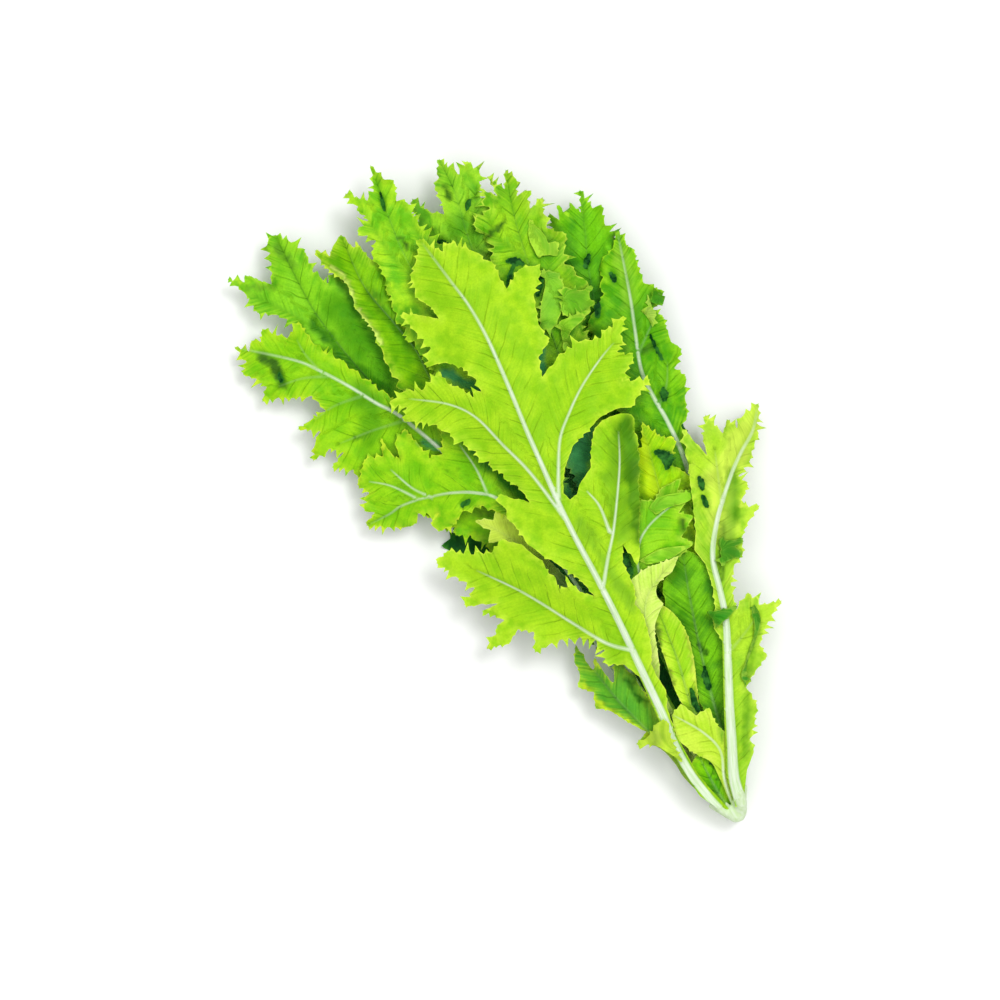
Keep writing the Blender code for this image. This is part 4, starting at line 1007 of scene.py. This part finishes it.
def leaf_shell(name, leaf, number, pile):
    """One fine leaf laid on the pile."""
    layer = number * LEAF_LAYER
    ribs = rib_routes(leaf)
    points, triangles, heights, outline = leaf_blade(name, leaf, ribs, random.Random(number))
    relief, mask, near, flow = rib_relief(points, ribs)
    margin = margin_distance(points, outline)
    tint, painted_hole = painted(name, points, layer), holed(name, points)
    waves, crest = frill(points, margin, np.clip(near / FREE_REACH, 0.0, 1.0), leaf.crimp, layer)
    heights = evened(heights, triangles) + waves - DENT * np.clip(2 * painted_hole, 0.0, 1.0)
    route = ribs[0].route
    along = np.hypot(*(points - route[0]).T) / np.hypot(*(route[-1] - route[0]))
    heights = heights + leaf.rise * np.clip(along, 0.0, 1.0) ** 2
    top = heights + BLADE / 2 + relief * RIB_HEIGHT
    bottom = heights - BLADE / 2 - relief * RIB_DEPTH
    lift = settle(points, triangles, bottom, pile)
    depth = (STALK_JOIN - REST_SPOT[1] - points[:, 1]) / (STALK_JOIN - STALK_END + STALK_SINK)
    lift = np.maximum(lift - DIVE * np.clip(depth, 0.0, 1.0) ** 2, -bottom)
    lay_down(points, triangles, top + lift, pile)
    return Shell(points, triangles, top + lift, bottom + lift, mask, margin, near, crest, painted_hole, flow, tint)


def lobe_shell(tone, rise, corners, teeth, rng, pile):
    """A small curled lobe that grows out of the leaf below it."""
    corners = np.array(corners) - REST_SPOT
    x, y = corners.T
    if np.sum(x * np.roll(y, -1) - y * np.roll(x, -1)) < 0:
        corners = corners[::-1]
    root = (corners[0] + corners[-1]) / 2
    corners, sizes = rounded(corners, np.full(len(corners), teeth))
    outline = frilled(corners, sizes, rng)
    points, triangles = filled(outline, [grid_points(outline, rng)], (GRID_CLEARANCE,))
    away = np.hypot(*(points - root).T)
    share = away / away.max()
    margin = margin_distance(points, outline)
    waves, crest = frill(points, margin, np.ones(len(points)), share.mean(), rise)
    heights = evened(pile[to_cells(points)], triangles) + waves
    heights = heights + rise * np.sin(math.pi * (LOBE_ARCH[0] + LOBE_ARCH[1] * share))
    lift = settle(points, triangles, heights - BLADE / 2, pile)
    heights = heights + lift - (GAP + BLADE) * np.clip(1.0 - away / ROOT_REACH, 0.0, 1.0)
    top, bottom = heights + BLADE / 2, heights - BLADE / 2
    lay_down(points, triangles, top, pile)
    rib, near = np.zeros(len(points)), np.full(len(points), FREE_REACH)
    # a dark lobe's tone is painted shade, and hides more of its leaf's colour
    cover = LOBE_COVERS[tone[1] > SOFT_SHADE[1]]
    tint = np.tile((*linear(tone)[:3], cover), (len(points), 1))
    sideways = np.arctan2(*(points - root).T)
    flow = np.column_stack([LOBE_FAN * sideways, LOBE_RUN * away, np.ones(len(points))])
    painted_hole = np.full(len(points), -1.0)
    return Shell(points, triangles, top, bottom, rib, margin, near, crest, painted_hole, flow, tint)


def sheltered(shell, pile):
    """How much the finished pile hides each point of a shell's upper side from the sky, 0 to 1, which the
    skin paints in as shade.
    """
    hidden = np.zeros(len(shell.points))
    for angle in np.arange(SHELTER_WAYS) * 2 * math.pi / SHELTER_WAYS:
        way = np.array((math.cos(angle), math.sin(angle)))
        horizon = np.zeros(len(shell.points))
        for reach in SHELTER_REACH:
            rise = pile[to_cells(shell.points + way * reach)] - GAP - shell.top
            horizon = np.maximum(horizon, rise / np.hypot(rise, reach))
        hidden += horizon**2 / SHELTER_WAYS
    covered = pile[to_cells(shell.points)] - GAP - shell.top > COVERED
    hidden[covered] = np.minimum(hidden[covered], MOST_SHELTER)
    return hidden


def closed_blade(shell):
    """Corners and faces of the solid between the two sides of a shell."""
    count = len(shell.points)
    sides = [np.column_stack([shell.points, heights]) for heights in (shell.top, shell.bottom)]
    faces = shell.triangles.tolist()
    edges = {side for a, b, c in faces for side in ((a, b), (b, c), (c, a))}
    walls = [(a, b) for a, b in edges if (b, a) not in edges]
    faces += [(c + count, b + count, a + count) for a, b, c in faces]
    faces += [(b, a, a + count, b + count) for a, b in walls]
    return np.concatenate(sides), faces


def add_mesh(name, corners, faces, material):
    """A smooth-shaded mesh object from millimetre points."""
    mesh = bpy.data.meshes.new(name)
    mesh.from_pydata((np.array(corners) * MM).tolist(), [], faces)
    mesh.materials.append(material)
    mesh.update()
    mesh.shade_smooth()
    mesh.set_sharp_from_angle(angle=SHARP_ANGLE)
    piece = bpy.data.objects.new(name, mesh)
    bpy.context.collection.objects.link(piece)
    return piece


def add_attribute(piece, name, kind, values):
    """Store one value for each point of a piece."""
    attribute = piece.data.attributes.new(name, kind, "POINT")
    key = {"FLOAT": "value", "FLOAT_VECTOR": "vector", "FLOAT_COLOR": "color"}[kind]
    attribute.data.foreach_set(key, np.asarray(values, dtype=np.float32).ravel())


def add_leaf(name, shells, material, pile):
    """One leaf with its lobes as a single piece in place of its solid."""
    corners, faces = [], []
    columns = {key: [] for key in (*LOOKS, "deep")}
    for shell in shells:
        start = sum(len(part) for part in corners)
        places, sides = closed_blade(shell)
        corners.append(places)
        faces += [tuple(k + start for k in face) for face in sides]
        for key in LOOKS:
            columns[key] += [getattr(shell, key)] * 2
        # how sheltered the upper side is, painted in as shade; the underside gets none
        columns["deep"] += [sheltered(shell, pile), np.zeros(len(shell.points))]
    piece = add_mesh("fine_" + name, np.concatenate(corners), faces, material)
    kinds = {"flow": "FLOAT_VECTOR", "tint": "FLOAT_COLOR"}
    for key, values in columns.items():
        add_attribute(piece, key, kinds.get(key, "FLOAT"), np.concatenate(values))
    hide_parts(name)
    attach(piece, "root")


class Skin:
    """A new material, with short ways to add nodes. What a node takes is a value or another's output."""

    def __init__(self, name, roughness):
        self.material = bpy.data.materials.new(name)
        self.material.use_nodes = True
        self.tree = self.material.node_tree
        self.shader = self.tree.nodes["Principled BSDF"]
        self.shader.inputs["Roughness"].default_value = roughness
        self.shader.inputs["Specular IOR Level"].default_value = SHINE

    def node(self, kind, inputs, **settings):
        """The outputs of a new node with its settings, and its inputs set or linked."""
        node = self.tree.nodes.new("ShaderNode" + kind)
        for key, value in settings.items():
            setattr(node, key, value)
        for key, value in inputs.items():
            if isinstance(value, bpy.types.NodeSocket):
                self.tree.links.new(value, node.inputs[key])
            else:
                node.inputs[key].default_value = value
        return node.outputs

    def attribute(self, name, output="Fac"):
        return self.node("Attribute", {}, attribute_name=name)[output]

    def maths(self, operation, first, second):
        return self.node("Math", {0: first, 1: second}, operation=operation)[0]

    def plus(self, first, second):
        return self.maths("ADD", first, second)

    def minus(self, first, second):
        return self.maths("SUBTRACT", first, second)

    def times(self, first, second):
        return self.maths("MULTIPLY", first, second)

    def over(self, first, second):
        return self.maths("DIVIDE", first, second)

    def ranged(self, value, start, end, low=0.0, high=1.0):
        """A value carried from one range to another and held inside it."""
        inputs = {"Value": value, "From Min": start, "From Max": end, "To Min": low, "To Max": high}
        return self.node("MapRange", inputs)["Result"]

    def mixed(self, share, first, second, kind="RGBA"):
        """Colour or value between two others."""
        return self.node("Mix", {"Factor": share, "A": first, "B": second}, data_type=kind)["Result"]

    def place(self, stretch, offset):
        """The place on the object in millimetres, stretched and shifted."""
        inputs = {"Vector": self.node("TexCoord", {})["Object"], "Location": (offset, 0, 0),
                  "Scale": [share / MM for share in stretch]}
        return self.node("Mapping", inputs)[0]

    def noise(self, place, length, detail=2.0):
        """Noise with lumps of a given length."""
        return self.node("TexNoise", {"Vector": place, "Scale": 1.0 / length, "Detail": detail})[0]

    def finished(self, colour, bumps, strength, height):
        """The material, with its colour and its bumps."""
        self.tree.links.new(colour, self.shader.inputs["Base Color"])
        inputs = {"Height": bumps, "Strength": strength, "Distance": height * MM}
        self.tree.links.new(self.node("Bump", inputs)["Normal"], self.shader.inputs["Normal"])
        return self.material


def slanted_flow(skin):
    """The way along the nearest rib to where a point's side vein leaves it, how far out the point is, and
    how clearly that rib is the nearest."""
    flow = skin.node("SeparateXYZ", {"Vector": skin.attribute("flow", "Vector")})
    return skin.minus(flow["X"], skin.times(flow["Y"], VEIN_SLOPE)), flow["Y"], flow["Z"]


def side_veins(skin, flow, place):
    """Thin lines that branch off the ribs at a slant and fade outwards."""
    along, out, clear = flow
    wander = skin.times(skin.noise(place, VEIN_WANDER[0]), VEIN_WANDER[1])
    phase = skin.over(skin.plus(along, wander), VEIN_PITCH)
    line = skin.ranged(skin.maths("PINGPONG", phase, 0.5), *VEIN_LINE)
    seen = skin.ranged(skin.noise(place, VEIN_PATCH), *VEIN_SEEN)
    line = skin.times(line, skin.times(seen, clear))
    return skin.times(line, skin.ranged(out, *VEIN_FADE))


def brush_streaks(skin, flow, widths, number):
    """Noise drawn out by a width along the rib and a length away from it."""
    along, out, _ = flow
    inputs = {"X": skin.over(along, widths[0]), "Y": skin.over(out, widths[1]), "Z": STREAK_SHIFT * number}
    return skin.noise(skin.node("CombineXYZ", inputs)[0], 1.0, FINE_DETAIL)


def rib_streaks(skin, flow, plain, number):
    """Streaks along the side veins near a rib, and plain noise elsewhere."""
    _, out, clear = flow
    near_rib = skin.times(skin.ranged(out, *STREAK_FADE), clear)
    return skin.mixed(near_rib, plain, brush_streaks(skin, flow, STREAKS, number), "FLOAT")


def blade_shade(skin, place, streaks):
    """How light the blade is, by its streaks and patches, and by painted light on its crests and painted
    shade in its hollows.
    """
    patches = skin.noise(place, PATCH_SIZE)
    shade = skin.plus(skin.times(streaks, STREAK_SHARE), skin.times(patches, 1.0 - STREAK_SHARE))
    return skin.ranged(skin.plus(shade, skin.times(skin.attribute("crest"), CREST_SHADING_SHARE)), *SHADE_RANGE)


def with_places(skin, colour, shade, streaks):
    """The colour with the places of another colour on it, many of them painted shade, and how much of the
    edge's colour they leave.
    """
    cover, tone = skin.attribute("tint", "Alpha"), skin.attribute("tint", "Color")
    left = skin.minus(1.0, skin.times(cover, TINT_OVER_EDGE))
    cover = skin.ranged(skin.plus(cover, skin.ranged(streaks, *TINT_BREAKS)), *TINT_RANGE)
    dimmed = skin.node("VectorMath", {"Vector": tone, "Scale": TINT_DIM}, operation="SCALE")[0]
    return skin.mixed(cover, colour, skin.mixed(shade, dimmed, tone)), left


def with_edge(skin, colour, edge, left, streaks, plain):
    """The colour with a glow along the blade's edge and a thin bright rim."""
    margin = skin.attribute("margin")
    glow = skin.times(skin.ranged(margin, *GLOW_REACH), skin.ranged(streaks, *GLOW_STREAKS))
    rim = skin.times(skin.ranged(margin, *RIM_REACH), skin.ranged(plain, *RIM_PATCHES))
    for share in (glow, rim):
        colour = skin.mixed(skin.times(share, left), colour, edge)
    return colour


def with_painted_holes(skin, colour, place, plain):
    """The colour with dark ragged holes painted in as shade, and painted shade around each."""
    jagged = skin.times(skin.minus(skin.noise(place, JAG_SIZE), 0.5), JAG_DEPTH)
    painted_hole = skin.plus(skin.attribute("painted_hole"), jagged)
    colour = skin.mixed(skin.ranged(painted_hole, *HOLE_SHADE_SURROUND), colour, linear(DEEP_SHADE))
    inner = skin.mixed(skin.ranged(plain, *HOLE_PATCHES), *map(linear, HOLE_SHADE_TONES))
    return skin.mixed(skin.ranged(painted_hole, *HOLE_EDGE), colour, inner)


def leaf_material(name, leaf, number):
    """Fresh leaf: streaked and mottled blade with veins, a thin bright edge and pale ribs, painted shade in
    the gaps, along the ribs and in dark painted holes, and painted light and shade on its crests and
    hollows.
    """
    skin = Skin("skin_" + name, LEAF_ROUGHNESS)
    place = skin.place((1, 1, 1), SKIN_SHIFT * number)
    flow, rib, plain = slanted_flow(skin), skin.attribute("rib"), skin.noise(place, PLAIN_SIZE)
    off_rib = skin.minus(1.0, rib)
    streaks = rib_streaks(skin, flow, plain, number)
    shade = blade_shade(skin, place, streaks)
    veins = skin.times(side_veins(skin, flow, place), off_rib)
    grain = skin.ranged(skin.noise(place, GRAIN_SIZE), *GRAIN_RANGE)
    deep = linear(leaf.deep)
    vein_and_shadow_tone = (*[channel * VEIN_AND_SHADOW_DARKNESS for channel in deep[:3]], 1.0)
    colour = skin.mixed(shade, deep, linear(leaf.light))
    for share in (grain, skin.times(veins, VEIN_STRENGTH)):
        colour = skin.mixed(share, colour, vein_and_shadow_tone)
    colour, left = with_places(skin, colour, shade, streaks)
    colour = with_edge(skin, colour, linear(leaf.edge), left, streaks, plain)
    # painted shade along both sides of each rib
    rib_shadow = skin.times(skin.ranged(skin.attribute("near_rib"), *RIB_SHADOW_REACH), RIB_SHADOW_STRENGTH)
    colour = skin.mixed(rib_shadow, colour, vein_and_shadow_tone)
    fibres = skin.ranged(brush_streaks(skin, flow, FIBRES, number), *SOFT)
    colour = skin.mixed(rib, colour, skin.mixed(fibres, *map(linear, RIB_TONES)))
    # painted shade in the gaps between leaves, where the pile shelters a point
    gap = skin.ranged(skin.attribute("deep"), *GAP_SHADE_RANGE)
    colour = skin.mixed(skin.times(gap, left), colour, linear(GAP_SHADE_TONE))
    colour = with_painted_holes(skin, colour, place, plain)
    bumps = skin.minus(skin.times(streaks, off_rib), veins)
    return skin.finished(colour, bumps, *LEAF_BUMPS)


def tube(path, radii):
    """Corners and faces of a closed round tube along a path."""
    path = np.array(path, dtype=float)
    ahead = np.gradient(path, axis=0)
    across = np.cross(ahead, (0.0, 0.0, 1.0))
    up = np.cross(across, ahead)
    across /= np.linalg.norm(across, axis=1)[:, None]
    up /= np.linalg.norm(up, axis=1)[:, None]
    angles = np.arange(TUBE_SIDES) * 2 * math.pi / TUBE_SIDES
    corners, faces = [], [tuple(range(TUBE_SIDES))]
    for ring, radius in enumerate(radii):
        for angle in angles:
            spoke = math.cos(angle) * across[ring] + math.sin(angle) * up[ring]
            corners.append(path[ring] + radius * spoke)
    for ring in range(len(radii) - 1):
        for k in range(TUBE_SIDES):
            a, b = ring * TUBE_SIDES + k, ring * TUBE_SIDES + (k + 1) % TUBE_SIDES
            faces.append((b, a, a + TUBE_SIDES, b + TUBE_SIDES))
    faces.append(tuple(reversed(range(len(corners) - TUBE_SIDES, len(corners)))))
    return corners, faces


def stalk_start(shell, leaf):
    """The middle of a leaf's stalk just above the stump."""
    x = np.interp(STALK_JOIN, [y for _, y in leaf.midrib[:2]], [x for x, _ in leaf.midrib[:2]])
    offset = shell.points + REST_SPOT - (x, STALK_JOIN)
    nearest = np.hypot(*offset.T).argmin()
    return x, STALK_JOIN, (shell.top[nearest] + shell.bottom[nearest]) / 2


def stalk_tube(shell, leaf):
    """The end of a leaf's stalk, run down into the stump."""
    x, y, z = stalk_start(shell, leaf)
    radius = max(leaf.stalk * leaf.neck, LEAST_STALK)
    path, radii = [(x, y, z)], [radius if radius > LEAST_STALK else radius * THIN_START]
    for depth, closer, swell, furthest in STALK_RUN:
        radii.append(radius * swell)
        across = np.interp(closer, (0.0, 1.0), (STUMP_AXIS[0], x))
        across = np.clip(across, radii[-1] - furthest, furthest - radii[-1])
        path.append((across, depth, np.interp(closer, (0.0, 1.0), (STUMP_AXIS[1], z))))
    return tube(path, radii)


def add_stump(shells):
    """The pale root end: every stalk runs down into it and grows together with the others."""
    cores = [[(x, y, height) for x, y, _ in STUMP_CORE] for height in STUMP_CORE_HEIGHTS]
    tubes = [tube(path, [radius for *_, radius in STUMP_CORE]) for path in cores]
    tubes += [stalk_tube(shells[name][0], leaf) for name, leaf in LEAVES.items()]
    corners, faces = [], []
    for places, sides in tubes:
        faces += [tuple(k + len(corners) for k in side) for side in sides]
        corners += [place - (*REST_SPOT, 0.0) for place in places]
    material = stump_material()
    piece = add_mesh("fine_root_stump", corners, faces, material)
    remesh = piece.modifiers.new("joined", "REMESH")
    remesh.mode = "VOXEL"
    remesh.voxel_size = STUMP_VOXEL * MM
    piece.modifiers.new("round", "SMOOTH").iterations = STUMP_SMOOTHING
    fine = bpy.data.meshes.new_from_object(piece.evaluated_get(bpy.context.evaluated_depsgraph_get()))
    piece.modifiers.clear()
    piece.data = fine
    fine.materials.clear()
    fine.materials.append(material)
    fine.shade_smooth()
    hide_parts("root_stump")
    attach(piece, "root")


def stump_material():
    """Pale mint flesh with streaks along the stalks."""
    skin = Skin("skin_root_stump", STUMP_ROUGHNESS)
    streaks = skin.noise(skin.place(STUMP_STRETCH, 0.0), STUMP_STREAK, FINE_DETAIL)
    colour = skin.mixed(skin.ranged(streaks, *SOFT), *map(linear, STUMP_TONES))
    return skin.finished(colour, streaks, *STUMP_BUMPS)


def add_floor():
    """The plain white surface that the head lies on."""
    half = FLOOR_SIZE / 2
    skin = Skin("floor_white", FLOOR_ROUGHNESS)
    skin.shader.inputs["Base Color"].default_value = FLOOR_TONE
    material = skin.material
    corners = [(-half, -half, 0), (half, -half, 0), (half, half, 0), (-half, half, 0)]
    add_mesh("floor", corners, [(0, 1, 2, 3)], material)


def add_lamp(name, energy, angle, way):
    """A far lamp that shines from a direction."""
    lamp = bpy.data.lights.new(name, "SUN")
    lamp.energy = energy
    lamp.angle = math.radians(angle)
    lit = bpy.data.objects.new(name, lamp)
    lit.rotation_euler = Vector(way).to_track_quat("Z", "Y").to_euler()
    bpy.context.collection.objects.link(lit)


def add_lights():
    """A white sky, a broad lamp straight above, and a steep soft one from the photo's upper right."""
    world = bpy.data.worlds.new("sky")
    bpy.context.scene.world = world
    world.use_nodes = True
    sky = world.node_tree.nodes["Background"].inputs
    sky["Color"].default_value = (1.0, 1.0, 1.0, 1.0)
    sky["Strength"].default_value = SKY_STRENGTH
    for lamp in LAMPS:
        add_lamp(*lamp)


def add_camera():
    """A long lens straight above, turned as the photo is."""
    data = bpy.data.cameras.new("camera")
    data.lens = data.sensor_width * (CAMERA_HEIGHT - FOCUS_HEIGHT) / VIEW_WIDTH
    data.clip_end = VIEW_END
    camera = bpy.data.objects.new("camera", data)
    camera.location = (*VIEW_CENTRE, CAMERA_HEIGHT)
    camera.rotation_euler = (0.0, 0.0, CAMERA_ROLL)
    bpy.context.collection.objects.link(camera)
    bpy.context.scene.camera = camera


def add_leaves():
    """All the leaves, each laid on those before it, and then turned into pieces."""
    pile = np.zeros(PILE_CELLS)
    rng = random.Random(LOBE_SEED)
    shells = {}
    for number, (name, leaf) in enumerate(LEAVES.items()):
        shells[name] = [leaf_shell(name, leaf, number, pile)]
        for tone, rise, corners in LOBES.get(name, ()):
            shells[name].append(lobe_shell(tone, rise, corners, leaf.teeth * LOBE_TEETH, rng, pile))
    for number, (name, leaf) in enumerate(LEAVES.items()):
        add_leaf(name, shells[name], leaf_material(name, leaf, number), pile)
    return shells


def main():
    bpy.context.scene.view_settings.view_transform = "Standard"
    add_camera()
    add_lights()
    add_floor()
    add_stump(add_leaves())


main()
